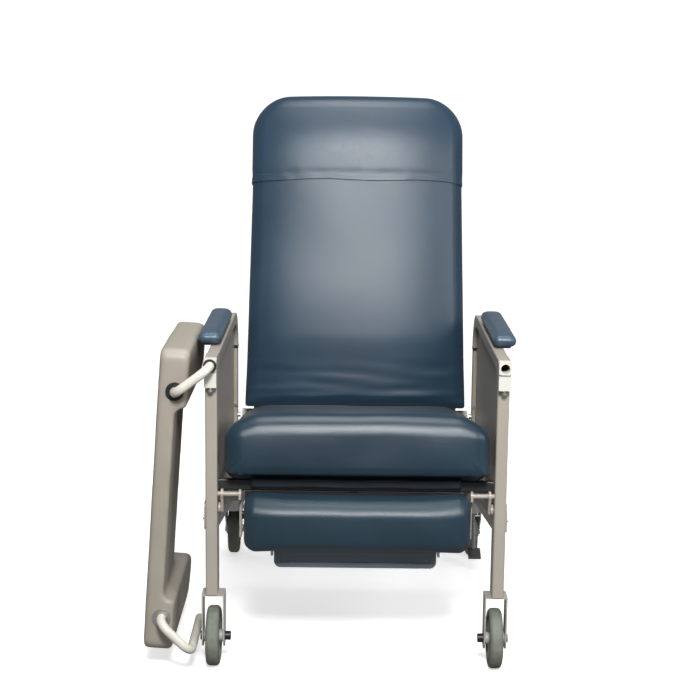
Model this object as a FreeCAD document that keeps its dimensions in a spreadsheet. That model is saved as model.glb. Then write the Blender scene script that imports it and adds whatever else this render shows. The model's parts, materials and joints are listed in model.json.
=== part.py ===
"""Patient recliner chair: a wheeled three-position recliner with a lift-off tray hung on one side.

Millimetres and degrees. X runs across the chair, +Y to its back, +Z up. The chair is drawn about its
front axle on the floor, and every finished piece is then moved by shift_across and shift_back, so that
the origin is the middle of the whole object's box, on the floor. Left is -X, right is +X.
"""
import FreeCAD, Part
import os
import re

import Sketcher
from FreeCAD import Rotation, Vector

# Driving dimensions: name, value, meaning.
SIZES = [
    ("shift_across", 52.7, "moves the finished chair across, to centre its box"),
    ("shift_back", -366.0, "moves the finished chair back, to centre its box"),
    ("side_outer", 314, "outer face of the side frames, from the middle plane"),
    ("tube_wide", 25, "width across the chair of every side-frame tube"),
    ("tube_wall", 2, "wall of the steel tubes"),
    ("tube_round", 4, "corner radius of the steel tubes"),
    ("post_deep", 50, "front post, front to back"),
    ("post_foot", 161, "underside of the front post"),
    ("post_top", 670, "top of the front post"),
    ("cap_thick", 2, "plate that closes the front post"),
    ("rail_tall", 28, "height of the arm rail and of the lower rail"),
    ("bend_start", 523, "where the arm rail starts to bend down"),
    ("bend_outer", 90, "outer radius of the arm bend"),
    ("collar_tall", 8, "black collar between the arm bend and the rear post"),
    ("lower_front", 324, "top of the lower rail at the front post"),
    ("lower_slope", 9.3, "slope of the lower rail, degrees"),
    ("beam_front", 672, "front face of the rear beam"),
    ("beam_deep", 28, "rear beam, front to back"),
    ("beam_foot", 160, "underside of the rear beam"),
    ("beam_top", 188, "top of the rear beam"),
    ("beam_half", 316, "half the length of the rear beam"),
    ("panel_thick", 14, "side panel"),
    ("panel_inner", 298, "inner face of the side panel, from the middle plane"),
    ("plate_thick", 3, "gussets, forks and armrest base plates"),
    ("seat_slope", 9.5, "backward slope of the seat, degrees"),
    ("seat_front", -50, "front of the seat cushion's underside"),
    ("seat_under", 428, "height of the front of the seat cushion's underside"),
    ("seat_half", 280, "half the width of the seat cushion"),
    ("seat_long", 525, "seat cushion, front to back along its slope"),
    ("seat_thick", 122, "seat cushion"),
    ("board_thick", 12, "seat board"),
    ("rail_wide", 25, "seat rails and seat cross tubes"),
    ("rail_mid", 200, "middle of a seat rail, from the middle plane"),
    ("cross_reach", 62, "front seat cross tube, along the seat from its front"),
    ("rear_reach", 645, "rear seat cross tube, along the seat from its front"),
    ("board_inset", 10, "how far the boards stop short of their cushions"),
    ("board_front", 40, "how far the seat board stops short of the front, clear of the raised leg rest"),
    ("seat_round", 25, "rounding of the seat cushion"),
    ("apron_half", 213, "half the length of the padded lip under the seat"),
    ("apron_front", -9, "front of the padded lip under the seat"),
    ("apron_low", 390, "underside of the padded lip under the seat"),
    ("apron_tall", 15.5, "height of the padded lip under the seat"),
    ("panel_round", 70, "panel corner under the arm bend"),
    ("collar_proud", 0.4, "how far the black collar stands out"),
    ("gusset_lead", 20, "how far the gusset reaches ahead of the post's middle"),
    ("gusset_long", 140, "gusset plate"),
    ("gusset_drop", 22, "gusset below the top of the lower rail"),
    ("gusset_rise", 36, "gusset above the top of the lower rail"),
    ("gusset_round", 10, "corners of the gusset"),
    ("bolt_head", 3.8, "radius of the small bolt heads"),
    ("bolt_tall", 4, "height of every bolt head"),
    ("stay_height", 433, "bolt on the front of the rear post"),
    ("knob_height", 255, "knob on the inside of the rear post"),
    ("knob_tall", 7, "how far that knob stands out"),
    ("nut_radius", 9.5, "axle nuts and large bolt heads"),
    ("nut_tall", 12, "axle nuts"),
    ("pad_inner", 292, "inner edge of an armrest pad"),
    ("pad_outer", 338, "outer edge of an armrest pad"),
    ("pad_front", 100, "front end of an armrest pad"),
    ("pad_long", 325, "length of an armrest pad"),
    ("pad_thick", 25, "thickness of an armrest pad"),
    ("socket_height", 659, "height of the tray sockets' bores"),
    ("socket_deep", 25, "tray socket block, front to back"),
    ("socket_half", 13, "half the height and width of a tray socket block"),
    ("bore_radius", 9.6, "bore of a tray socket"),
    ("pad_round", 10, "rounding of the armrest pads"),
    ("latch_deep", 20, "latch box, front to back"),
    ("latch_tall", 34, "latch box, height"),
    ("pin_radius", 3, "latch pin"),
    ("pin_gap", 0.4, "latch pin, below the tray tube"),
    ("pin_hang", 9, "how far the latch pin hangs below its box"),
    ("pin_head", 5, "knob of the latch pin"),
    ("passage_radius", 11, "hole in the post behind a tray socket"),
    ("wheel_radius", 63.5, "all four wheels"),
    ("tyre_wide", 28, "all four tyres"),
    ("rim_radius", 45, "inside of the tyres, outside of the hubs"),
    ("tyre_round", 9, "rounding of the tyres"),
    ("hub_half", 11, "half the thickness of the hub discs"),
    ("boss_radius", 13, "hub bosses"),
    ("hub_play", 0.5, "gap between a turning piece and what holds it"),
    ("fork_reach", 22, "half the front fork, front to back"),
    ("caster_half", 20, "half the outside width of a rear fork"),
    ("caster_square", 60, "caster mounting plate"),
    ("caster_thick", 5, "caster mounting plate"),
    ("crown_radius", 27, "crown of a rear fork"),
    ("crown_tall", 24, "crown of a rear fork"),
    ("cheek_round", 15, "round foot of a rear fork"),
    ("cheek_reach", 23, "rear fork at its crown, ahead of the swivel axis"),
    ("pedal_pin", 3, "hinge pin of the brake pedal"),
    ("pedal_back", 692, "hinge of the brake pedal, front to back"),
    ("pedal_high", 122, "hinge of the brake pedal, above the floor"),
    ("pedal_round", 6, "half the height of the pedal's arm"),
    ("pedal_thick", 8, "the pedal's arm"),
    ("pedal_tip", 644, "front of the pedal's arm"),
    ("pedal_low", 42, "foot of the pedal's arm"),
    ("pedal_long", 24, "the pedal's tread ahead of its arm"),
    ("pedal_wide", 32, "the pedal's tread"),
    ("lock_outer", 11, "outside of the lock cylinder"),
    ("lock_inner", 5, "lock rod"),
    ("lock_tall", 142, "lock cylinder"),
    ("lock_travel", 57, "height of the retracted lock rod's foot, above the beam"),
    ("lock_half", 7.5, "half the width of the lock rod's eye"),
    ("lock_round", 13, "half the length of the lock rod's eye"),
    ("front_track", 299, "middle of a front wheel, from the middle plane"),
    ("front_axle", 6, "radius of the front axle bolts"),
    ("fork_half", 24, "half the outside width of a front fork"),
    ("rear_track", 309, "middle of a rear caster, from the middle plane"),
    ("stem_back", 708, "swivel axis of the rear casters"),
    ("trail", 46, "from the swivel axis to the rear axle"),
    ("rear_axle", 5, "radius of the rear axle bolts"),
    ("stem_radius", 6, "kingpin of a rear caster"),
    ("fit", 0.06, "radial clearance of every running fit"),
    ("pivot_back", 599, "hinge of the backrest, front to back"),
    ("pivot_height", 405, "hinge of the backrest, above the floor"),
    ("pivot_radius", 6, "pivot bolts of the backrest"),
    ("back_lean", 13, "lean of the backrest at rest, degrees"),
    ("back_half", 270, "half the width of the back cushion"),
    ("back_face", 111, "front of the back cushion, ahead of the hinge"),
    ("back_rear", 16, "rear of the back cushion, ahead of the hinge"),
    ("back_low", 30, "bottom of the back cushion, above the hinge"),
    ("hem_height", 572, "hem of the headrest cover, above the hinge"),
    ("back_high", 784, "top of the headrest cover, above the hinge"),
    ("hem_gap", 1, "gap between the cushion and the headrest cover's hem"),
    ("back_round", 20, "rounding of the back cushion"),
    ("cross_top", 15, "top of the back cross tube, above the hinge"),
    ("bracket_inner", 277, "inner face of the back brackets, from the middle plane"),
    ("ear_reach", 67.1, "lock pin in the backrest, behind the hinge"),
    ("ear_rise", 43.6, "lock pin in the backrest, above the hinge"),
    ("ear_round", 9, "rounding of the ears about the lock pin"),
    ("grip_inner", 120, "inner end of a push grip"),
    ("grip_outer", 215, "outer end of a push grip"),
    ("crown_round", 95, "radius of the backrest's top corners"),
    ("upright_mid", 237.5, "middle of a back upright, from the middle plane"),
    ("upright_high", 640, "top of the back uprights, above the hinge"),
    ("lug_drop", 69.6, "link lugs, below the backrest's hinge"),
    ("push_high", 620, "push bar, above the hinge"),
    ("push_back", 75, "push bar, behind the hinge"),
    ("push_radius", 11, "push bar"),
    ("arm_reach", 80, "lock pin, from the backrest's hinge"),
    ("lock_swing", 20, "half the backrest's travel, degrees"),
    ("lift_front", -15, "hinge of the leg rest, front to back"),
    ("lift_height", 380, "hinge of the leg rest, above the floor"),
    ("shaft_radius", 5, "leg rest shafts"),
    ("arm_inner", 239.5, "inner face of a leg rest arm, from the middle plane"),
    ("arm_round", 10, "round top of a leg rest arm"),
    ("arm_back", 23, "back of the leg rest arms and their tie"),
    ("arm_low", 282, "foot of the leg rest arms"),
    ("shaft_end", 300, "outer end of a leg rest shaft"),
    ("tie_low", 318, "underside of the tie between the arms"),
    ("foot_board_back", 7, "back of the footrest's board"),
    ("foot_round", 28, "front corners of the footrest pad"),
    ("bracket_tall", 70, "height of the foot flap's brackets"),
    ("flap_round", 6, "rounding of the foot flap"),
    ("link_play", 2.5, "clearance of the link's front pivot"),
    ("crank_back", 10.75, "crank pin, behind the leg rest's hinge"),
    ("crank_drop", 33.25, "crank pin, below the leg rest's hinge"),
    ("link_pin", 4, "radius of the link pins"),
    ("link_round", 11, "half the height of a link"),
    ("link_inner", 283, "inner face of a link, from the middle plane"),
    ("link_thick", 5, "links, cranks and leg rest arms"),
    ("foot_half", 238.5, "half the width of the footrest pad"),
    ("foot_front", -62, "front of the footrest pad"),
    ("foot_thick", 60, "footrest pad"),
    ("foot_low", 262, "bottom of the footrest pad"),
    ("foot_high", 388, "top of the footrest pad"),
    ("flap_half", 172, "half the width of the foot flap"),
    ("flap_front", 8, "front of the foot flap"),
    ("flap_thick", 22, "foot flap"),
    ("flap_low", 213, "bottom of the foot flap"),
    ("flap_high", 255, "top of the foot flap"),
    ("flap_hinge", 250, "height of the foot flap's hinge"),
    ("tray_hang", 86.3, "turn of the hung tray about the socket, degrees"),
    ("tray_low", -318, "one end of the tray, along its width"),
    ("tray_high", 330, "other end of the tray, along its width"),
    ("tray_deep", 385, "tray at its two wings, front to back"),
    ("tray_waist", 205, "tray at its middle, front to back"),
    ("tray_top", 104, "top of the tray above its tubes"),
    ("tray_under", 42, "underside of the wings above the tubes"),
    ("tray_thin", 66, "underside of the middle above the tubes"),
    ("recess_half", 205, "half the width of the tray's thin middle"),
    ("wing_lead", 22, "half the width of the slope between wing and middle"),
    ("tray_corner", 22, "corners of the tray"),
    ("tray_sweep", 62, "the tray's two far corners, which are rounder"),
    ("tray_edge", 8, "rounding of the tray's edges"),
    ("recess_round", 14, "rounding of the step under the wings"),
    ("flange_radius", 19, "flanges of the tray tubes"),
    ("washer_radius", 14, "washer at the left socket"),
    ("tray_tube", 9.525, "radius of the tray tubes"),
    ("tube_insert", 170, "length of tube inside a socket and post"),
    ("loop_reach", 34, "how far a tray tube loops ahead of the tray"),
    ("loop_radius", 26, "bend radius of the tray tubes"),
    ("flange_mid", 243, "where a tube meets the tray, along its width"),
    ("flange_high", 68, "where a tube meets the tray, above the sockets"),
]

doc = FreeCAD.newDocument("patient_recliner_chair")
sheet = doc.addObject("Spreadsheet::Sheet", "Sizes")
VALUE = {}
for row, (alias, value, meaning) in enumerate(SIZES, start=1):
    sheet.set(f"A{row}", meaning)
    sheet.set(f"B{row}", str(value))
    sheet.setAlias(f"B{row}", alias)
    VALUE[alias] = value
doc.recompute()

LEFT, RIGHT = -1, 1
SIDES = (LEFT, RIGHT)
nodes = []


def bound(text):
    """An expression with every sheet name in it prefixed by the sheet."""
    return re.sub(r"[a-z_]+", lambda word: f"Sizes.{word[0]}" if word[0] in VALUE else word[0], str(text))


def number(text):
    """The present value of an expression in sheet names."""
    return float(sheet.evalExpression(bound(text)))


def bind(piece, prop, text):
    piece.setExpression(prop, bound(text))


def place(piece, x=0, y=0, z=0, axis=None, angle=0):
    """Puts a piece at a point given by expressions, turned about an axis through that point."""
    for letter, text in zip("xyz", (x, y, z)):
        bind(piece, f".Placement.Base.{letter}", text)
    if axis is not None:
        piece.Placement = FreeCAD.Placement(Vector(0, 0, 0), Rotation(Vector(*axis), number(angle)))
        bind(piece, ".Placement.Rotation.Angle", angle)
    return piece


def low_x(side, near, far):
    """The low-X side of a piece that spans near to far from the middle plane, on either side."""
    return f"({near})" if side == RIGHT else f"-({far})"


def box(name, x, y, z, long, deep, tall):
    piece = doc.addObject("Part::Box", name)
    for prop, text in (("Length", long), ("Width", deep), ("Height", tall)):
        bind(piece, prop, text)
    return place(piece, x, y, z)


AXES = {"x": ((0, 1, 0), 90), "y": ((1, 0, 0), -90), "z": ((0, 0, 1), 0)}


def rod(name, along, radius, start, length):
    """A cylinder from a start point, along +X, +Y or +Z."""
    piece = doc.addObject("Part::Cylinder", name)
    bind(piece, "Radius", radius)
    bind(piece, "Height", length)
    axis, angle = AXES[along]
    return place(piece, *start, axis=axis, angle=angle)


def join(name, pieces):
    piece = doc.addObject("Part::MultiFuse", name)
    piece.Shapes = pieces
    return piece


def cut(name, base, tools):
    piece = doc.addObject("Part::Cut", name)
    piece.Base = base
    piece.Tool = tools[0] if len(tools) == 1 else join(f"{name}_tools", tools)
    return piece


def pin_vertex(sketch, line, point):
    """Ties the start of a sketch line to its two coordinates, given by expressions."""
    for kind, across, text in (("DistanceX", -2, point[0]), ("DistanceY", -1, point[1])):
        value = number(text)
        if abs(value) < 1e-7:
            sketch.addConstraint(Sketcher.Constraint("PointOnObject", line, 1, across))
            continue
        ends = (-1, 1, line, 1) if value > 0 else (line, 1, -1, 1)
        index = sketch.addConstraint(Sketcher.Constraint(kind, *ends, abs(value)))
        bind(sketch, f"Constraints[{index}]", text if value > 0 else f"-({text})")


def draw_loop(sketch, points):
    """A closed outline of straight lines through points given by expressions."""
    flat = [Vector(number(x), number(y), 0) for x, y in points]
    first = sketch.GeometryCount
    for index, start in enumerate(flat):
        sketch.addGeometry(Part.LineSegment(start, flat[(index + 1) % len(flat)]))
    for index in range(len(flat)):
        following = (index + 1) % len(flat)
        sketch.addConstraint(Sketcher.Constraint("Coincident", first + index, 2, first + following, 1))
    for index, point in enumerate(points):
        pin_vertex(sketch, first + index, point)


def draw_circle(sketch, x, y, radius):
    centre = Vector(number(x), number(y), 0)
    index = sketch.addGeometry(Part.Circle(centre, Vector(0, 0, 1), number(radius)))
    size = sketch.addConstraint(Sketcher.Constraint("Radius", index, number(radius)))
    bind(sketch, f"Constraints[{size}]", radius)
    for kind, across, text in (("DistanceX", -2, x), ("DistanceY", -1, y)):
        value = number(text)
        if abs(value) < 1e-7:
            sketch.addConstraint(Sketcher.Constraint("PointOnObject", index, 3, across))
            continue
        ends = (-1, 1, index, 3) if value > 0 else (index, 3, -1, 1)
        tie = sketch.addConstraint(Sketcher.Constraint(kind, *ends, abs(value)))
        bind(sketch, f"Constraints[{tie}]", text if value > 0 else f"-({text})")


def block(name, plane, depth, loops, circles=(), rounds=()):
    """A PartDesign body: outlines in one origin plane, padded by depth along +X, +Y or +Z.

    Each entry of rounds is a radius and a test that picks the edges to round, from their middle points.
    """
    body = doc.addObject("PartDesign::Body", name)
    sketch = body.newObject("Sketcher::SketchObject", f"{name}_sketch")
    face = next(item for item in body.Origin.OriginFeatures if item.Role == plane)
    sketch.AttachmentSupport = [(face, "")]
    sketch.MapMode = "FlatFace"
    for points in loops:
        draw_loop(sketch, points)
    for circle in circles:
        draw_circle(sketch, *circle)
    pad = body.newObject("PartDesign::Pad", f"{name}_pad")
    pad.Profile = sketch
    pad.Length = number(depth)
    bind(pad, "Length", depth)
    pad.Reversed = plane == "XZ_Plane"
    doc.recompute()
    tip = pad
    for turn, (radius, wanted) in enumerate(rounds):
        chosen = [f"Edge{index + 1}" for index, edge in enumerate(tip.Shape.Edges) if wanted(edge)]
        fillet = body.newObject("PartDesign::Fillet", f"{name}_round_{turn}")
        fillet.Base = (tip, chosen)
        fillet.Radius = number(radius)
        bind(fillet, "Radius", radius)
        doc.recompute()
        tip = fillet
    return body


def rectangle(low_u, high_u, low_v, high_v):
    return [(low_u, low_v), (high_u, low_v), (high_u, high_v), (low_u, high_v)]


def straight(edge):
    return isinstance(edge.Curve, (Part.Line, Part.LineSegment))


def runs_along(edge, axis):
    """True for a straight edge parallel to a unit vector."""
    if not straight(edge):
        return False
    direction = edge.tangentAt(edge.FirstParameter)
    return abs(direction.dot(Vector(*axis))) > 0.999


def middle(edge):
    return edge.valueAt((edge.FirstParameter + edge.LastParameter) / 2)


X_AXIS, Y_AXIS, Z_AXIS = (1, 0, 0), (0, 1, 0), (0, 0, 1)


def at_point(edge, points):
    """True for an edge whose middle stands over one of the points, given by expressions."""
    spot = middle(edge)
    return any(abs(spot.x - number(x)) + abs(spot.y - number(y)) < 0.01 for x, y in points)


ALONG = {"YZ_Plane": X_AXIS, "XZ_Plane": Y_AXIS, "XY_Plane": Z_AXIS}


def hollow(name, plane, depth, low_u, high_u, low_v, high_v):
    """A rectangular steel tube, rounded outside along its length."""
    outer = rectangle(low_u, high_u, low_v, high_v)
    inner = rectangle(
        f"{low_u} + tube_wall", f"{high_u} - tube_wall", f"{low_v} + tube_wall", f"{high_v} - tube_wall"
    )
    axis = ALONG[plane]
    faces = [(number(low_u), number(high_u)), (number(low_v), number(high_v))]
    first, second = [index for index in range(3) if not axis[index]]

    def outside(edge):
        point = middle(edge)
        near = [
            min(abs(point[place_in] - bound_at) for bound_at in span)
            for place_in, span in zip((first, second), faces)
        ]
        return runs_along(edge, axis) and max(near) < 0.01

    return block(name, plane, depth, [outer, inner], rounds=[("tube_round", outside)])


def node(label, pieces):
    """A finished sub-part: its solids together, moved so that the chair's box is centred."""
    piece = doc.addObject("Part::Compound", f"{label}_node")
    piece.Label = label
    piece.Links = pieces
    place(piece, "shift_across", "shift_back", 0)
    nodes.append(piece)


def both(label, make):
    """One node that holds a left and a right piece."""
    node(label, [make(side, f"{label}_{'left' if side == LEFT else 'right'}") for side in SIDES])



SIDE_INNER = "(side_outer - tube_wide)"
SIDE_MIDDLE = "(side_outer - tube_wide/2)"
RAIL_TOP = "(post_top + cap_thick)"
RAIL_UNDER = "(post_top + cap_thick - rail_tall)"
REAR_POST = "(bend_start + bend_outer - rail_tall)"
BEND_MIDDLE = "(post_top + cap_thick - bend_outer)"
PLATE_OUT = "(side_outer + plate_thick)"


def side_box(name, side, near, far, y, z, deep, tall):
    """A box that spans near to far from the middle plane on one side of the chair."""
    return box(name, low_x(side, near, far), y, z, f"({far}) - ({near})", deep, tall)


def side_rod(name, side, radius, near, far, y, z):
    """A rod across the chair that spans near to far from the middle plane on one side."""
    return rod(name, "x", radius, (low_x(side, near, far), y, z), f"({far}) - ({near})")


def side_tube(name, side, plane, depth, low_v, high_v):
    """An upright or level side-frame tube: its section runs across the tube's width and low_v to high_v."""
    inner, outer = (SIDE_INNER, "side_outer") if side == RIGHT else ("-side_outer", f"-{SIDE_INNER}")
    return hollow(name, plane, depth, inner, outer, low_v, high_v)


# Side frames: welded steel tubes.
def front_post(side, name):
    tube = place(side_tube(f"{name}_tube", side, "XY_Plane", "post_top - post_foot", "-post_deep/2",
                           "post_deep/2"),
                 0, 0, "post_foot")
    cap = side_box(f"{name}_cap", side, SIDE_INNER, "side_outer", "-post_deep/2", "post_top", "post_deep",
                   "cap_thick")
    bore_x = f"{side}*{SIDE_MIDDLE}"
    passage = rod(f"{name}_passage", "y", "passage_radius", (bore_x, "-post_deep", "socket_height"),
                  "2*post_deep")
    shaft = side_rod(f"{name}_shaft_hole", side, "shaft_radius + fit", f"{SIDE_INNER} - 1",
                     f"{SIDE_MIDDLE}", "lift_front", "lift_height")
    return cut(name, join(f"{name}_whole", [tube, cap]), [passage, shaft])


both("front_posts", front_post)


def arm_rail(side, name):
    tube = side_tube(name, side, "XZ_Plane", "bend_start - post_deep/2", RAIL_UNDER, RAIL_TOP)
    return place(tube, 0, "post_deep/2", 0)


both("arm_rails", arm_rail)


def quarter(name, x, radius, long):
    """A quarter disc about the arm bend's centre, from the arm rail's end down to the rear post."""
    piece = doc.addObject("Part::Cylinder", name)
    bind(piece, "Radius", radius)
    bind(piece, "Height", long)
    piece.Angle = 90
    return place(piece, x, "bend_start", BEND_MIDDLE, axis=(1, 1, 1), angle=120)


def arm_bend(side, name):
    start = low_x(side, SIDE_INNER, "side_outer")
    inside = f"{start} + tube_wall"
    hollow_wide = "tube_wide - 2*tube_wall"
    shell = cut(
        f"{name}_shell",
        quarter(f"{name}_outer", start, "bend_outer", "tube_wide"),
        [quarter(f"{name}_inner", start, "bend_outer - rail_tall", "tube_wide")],
    )
    void = cut(
        f"{name}_void",
        quarter(f"{name}_void_outer", inside, "bend_outer - tube_wall", hollow_wide),
        [quarter(f"{name}_void_inner", inside, "bend_outer - rail_tall + tube_wall", hollow_wide)],
    )
    return cut(name, shell, [void])


both("arm_bends", arm_bend)


def post_collar(side, name):
    inner, outer = f"{SIDE_INNER} - collar_proud", "side_outer + collar_proud"
    return side_box(name, side, inner, outer, REAR_POST, f"{BEND_MIDDLE} - collar_tall",
                    "rail_tall + collar_proud",
                    "collar_tall")


both("post_collars", post_collar)

LOWER_START = (
    "post_deep/2 - rail_tall*sin(lower_slope) - collar_tall*cos(lower_slope)",
    "lower_front - rail_tall*cos(lower_slope) + collar_tall*sin(lower_slope)",
)
LOWER_LONG = "(beam_front + beam_deep - post_deep/2)/cos(lower_slope) + collar_tall"


def slope_down(piece):
    """Lays a level piece along the lower rail's slope."""
    return place(piece, 0, *LOWER_START, axis=(-1, 0, 0), angle="lower_slope")


def rail_blank(name, side):
    """A solid a little wider than the lower rail, to trim what stands on it."""
    piece = box(name, 0, 0, 0, "tube_wide + 2*cap_thick", LOWER_LONG, "rail_tall")
    slope_down(piece)
    bind(piece, ".Placement.Base.x", low_x(side, f"{SIDE_INNER} - cap_thick", "side_outer + cap_thick"))
    return piece


def rear_post(side, name):
    foot = "(beam_foot + 2*rail_tall)"
    tube = place(side_tube(f"{name}_tube", side, "XY_Plane", f"{BEND_MIDDLE} - collar_tall - {foot}",
                           REAR_POST, f"{REAR_POST} + rail_tall"), 0, 0, foot)
    hole = side_rod(f"{name}_hinge_hole", side, "pivot_radius + fit", f"{SIDE_INNER} - 1", "side_outer + 1",
                    "pivot_back", "pivot_height")
    return cut(name, tube, [rail_blank(f"{name}_trim", side), hole])


both("rear_posts", rear_post)


def lower_rail(side, name):
    tube = slope_down(side_tube(f"{name}_tube", side, "XZ_Plane", LOWER_LONG, "0", "rail_tall"))
    post = side_box(f"{name}_post", side, f"{SIDE_INNER} - 1", "side_outer + 1", "-post_deep/2",
                    "post_foot",
                    "post_deep", "post_top - post_foot")
    beam = side_box(f"{name}_beam", side, f"{SIDE_INNER} - 1", "beam_half + 1", "beam_front", "beam_foot",
                    "2*beam_deep", "beam_top - beam_foot")
    return cut(name, tube, [post, beam])


both("lower_rails", lower_rail)
beam = hollow("rear_beam_tube", "YZ_Plane", "2*beam_half", "beam_front", "beam_front + beam_deep",
              "beam_foot", "beam_top")
node("rear_beam", [place(beam, "-beam_half", 0, 0)])


def side_panel(side, name):
    front, back = "post_deep/2", REAR_POST
    outline = [
        (front, "lower_front"),
        (back, f"lower_front - ({REAR_POST} - post_deep/2)*tan(lower_slope)"),
        (back, RAIL_UNDER),
        (front, RAIL_UNDER),
    ]

    def bend_corner(edge):
        point = middle(edge)
        behind = point.y > number(f"{back} - 1")
        return runs_along(edge, X_AXIS) and behind and point.z > number(f"{RAIL_UNDER} - 1")

    board = block(name, "YZ_Plane", "panel_thick", [outline], rounds=[("panel_round", bend_corner)])
    return place(board, low_x(side, "panel_inner", "panel_inner + panel_thick"), 0, 0)


both("side_panels", side_panel)


def gusset(side, name):
    plate = block(f"{name}_plate", "YZ_Plane", "plate_thick",
                  [rectangle("-gusset_lead", "gusset_long - gusset_lead", "lower_front - gusset_drop",
                             "lower_front + gusset_rise")],
                  rounds=[("gusset_round", lambda edge: runs_along(edge, X_AXIS))])
    return place(plate, low_x(side, "side_outer", PLATE_OUT), 0, 0)


both("gusset_plates", gusset)


def side_bolts(side, name):
    outer = [
        side_rod(f"{name}_gusset_{index}", side, "bolt_head", PLATE_OUT, f"{PLATE_OUT} + bolt_tall", along,
                 "lower_front")
        for index, along in enumerate(("0", "3*gusset_lead"))
    ]
    stay = rod(f"{name}_stay", "y", "bolt_head", (f"{side}*({SIDE_INNER} + bolt_head)",
                                                  f"{REAR_POST} - bolt_tall", "stay_height"),
               "bolt_tall")
    knob = side_rod(f"{name}_knob", side, "2*bolt_head", f"{SIDE_INNER} - knob_tall", SIDE_INNER,
                    f"{REAR_POST} + rail_tall/2",
                    "knob_height")
    return join(name, outer + [stay, knob])


both("frame_bolts", side_bolts)


# Seat: drawn level, then turned back about the front of its underside.
def seat_place(piece):
    return place(piece, 0, "seat_front", "seat_under", axis=(-1, 0, 0), angle="seat_slope")


def on_seat(name, low_x_text, high_x_text, low_s, high_s, low_n, high_n, rounds=()):
    body = block(name, "YZ_Plane", f"({high_x_text}) - ({low_x_text})",
                 [rectangle(low_s, high_s, low_n, high_n)],
                 rounds=rounds)
    seat_place(body)
    bind(body, ".Placement.Base.x", low_x_text)
    return body


def level_edge(edge):
    return runs_along(edge, X_AXIS)


def upper_edges(edge):
    point = middle(edge)
    return point.z > number("seat_thick - 1") or runs_along(edge, Z_AXIS)


node("seat_cushion", [on_seat("seat_cushion_block", "-seat_half", "seat_half", "0", "seat_long", "0",
                              "seat_thick",
                              rounds=[("seat_round", upper_edges)])])
node("seat_board", [on_seat("seat_board_sheet", "-seat_half + board_inset", "seat_half - board_inset",
                            "board_front",
                            "seat_long - board_inset", "-board_thick", "0")])


def seat_tube(name, low_x_text, high_x_text, low_s, high_s):
    """A steel tube against the seat board's underside, running along the longer of its two spans."""
    low_n, high_n = "-board_thick - rail_wide", "-board_thick"
    across = number(f"({high_x_text}) - ({low_x_text})") > number(f"({high_s}) - ({low_s})")
    if across:
        tube = hollow(name, "YZ_Plane", f"({high_x_text}) - ({low_x_text})", low_s, high_s, low_n, high_n)
        seat_place(tube)
        bind(tube, ".Placement.Base.x", low_x_text)
        return tube
    tube = hollow(name, "XZ_Plane", f"({high_s}) - ({low_s})", low_x_text, high_x_text, low_n, high_n)
    seat_place(tube)
    bind(tube, ".Placement.Base.y", f"seat_front + ({low_s})*cos(seat_slope)")
    bind(tube, ".Placement.Base.z", f"seat_under - ({low_s})*sin(seat_slope)")
    return tube


CROSS_FRONT = "cross_reach"
CROSS_BACK = "(cross_reach + rail_wide)"
REAR_BACK = "(rear_reach + rail_wide)"
node("seat_cross_tubes", [
    seat_tube("front_cross_tube", f"-{SIDE_INNER}", SIDE_INNER, CROSS_FRONT, CROSS_BACK),
    seat_tube("rear_cross_tube", f"-{SIDE_INNER}", SIDE_INNER, "rear_reach", REAR_BACK),
])


def seat_rail(side, name):
    low = low_x(side, "rail_mid - rail_wide/2", "rail_mid + rail_wide/2")
    return seat_tube(name, low, f"{low} + rail_wide", CROSS_BACK, "rear_reach")


both("seat_rails", seat_rail)
apron = block("seat_apron_lip", "YZ_Plane", "2*apron_half", [rectangle("apron_front",
        "apron_front + board_thick", "apron_low",
              "apron_low + apron_tall")], rounds=[("tube_round", level_edge)])
node("seat_apron", [place(apron, "-apron_half", 0, 0)])


# Armrests.
def pad_edges(edge):
    return middle(edge).z > number("pad_thick - 1") or runs_along(edge, Z_AXIS)


for side, word in ((LEFT, "left"), (RIGHT, "right")):
    pad = block(f"armrest_{word}", "XY_Plane", "pad_thick", [rectangle("0", "pad_outer - pad_inner", "0",
                                                                       "pad_long")],
                rounds=[("pad_round", pad_edges)])
    node(f"armrest_pad_{word}", [place(pad, low_x(side, "pad_inner", "pad_outer"), "pad_front",
                                       f"{RAIL_TOP} + plate_thick")])


def armrest_plate(side, name):
    return side_box(name, side, "pad_inner + pad_round", "pad_outer - pad_round", "pad_front + pad_round",
                    RAIL_TOP,
                    "pad_long - 2*pad_round", "plate_thick")


both("armrest_plates", armrest_plate)


# Tray sockets on the front posts, each with a latch under it.
SOCKET_FRONT = "(-post_deep/2 - socket_deep)"
BORE_MIDDLE = "(side_outer - tube_wide/2)"


def tray_socket(side, name):
    cube = block(f"{name}_cube", "XZ_Plane", "socket_deep",
                 [rectangle(f"{side}*{BORE_MIDDLE} - socket_half", f"{side}*{BORE_MIDDLE} + socket_half",
                            "socket_height - socket_half", "socket_height + socket_half")],
                 rounds=[("tube_round", lambda edge: runs_along(edge, Y_AXIS))])
    place(cube, 0, SOCKET_FRONT, 0)
    bore = rod(f"{name}_bore", "y", "bore_radius", (f"{side}*{BORE_MIDDLE}", f"{SOCKET_FRONT} - 1",
                                                    "socket_height"),
               "socket_deep + 2")
    pin = rod(f"{name}_pin_hole", "z", "pin_radius + fit", (f"{side}*{BORE_MIDDLE}", PIN_BACK,
                                                            "socket_height - 2*socket_half"),
              "2*socket_half")
    return cut(name, cube, [bore, pin])


PIN_BACK = "(-post_deep/2 - socket_deep/2)"
LATCH_TOP = "(socket_height - socket_half)"
both("tray_sockets", tray_socket)


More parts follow.
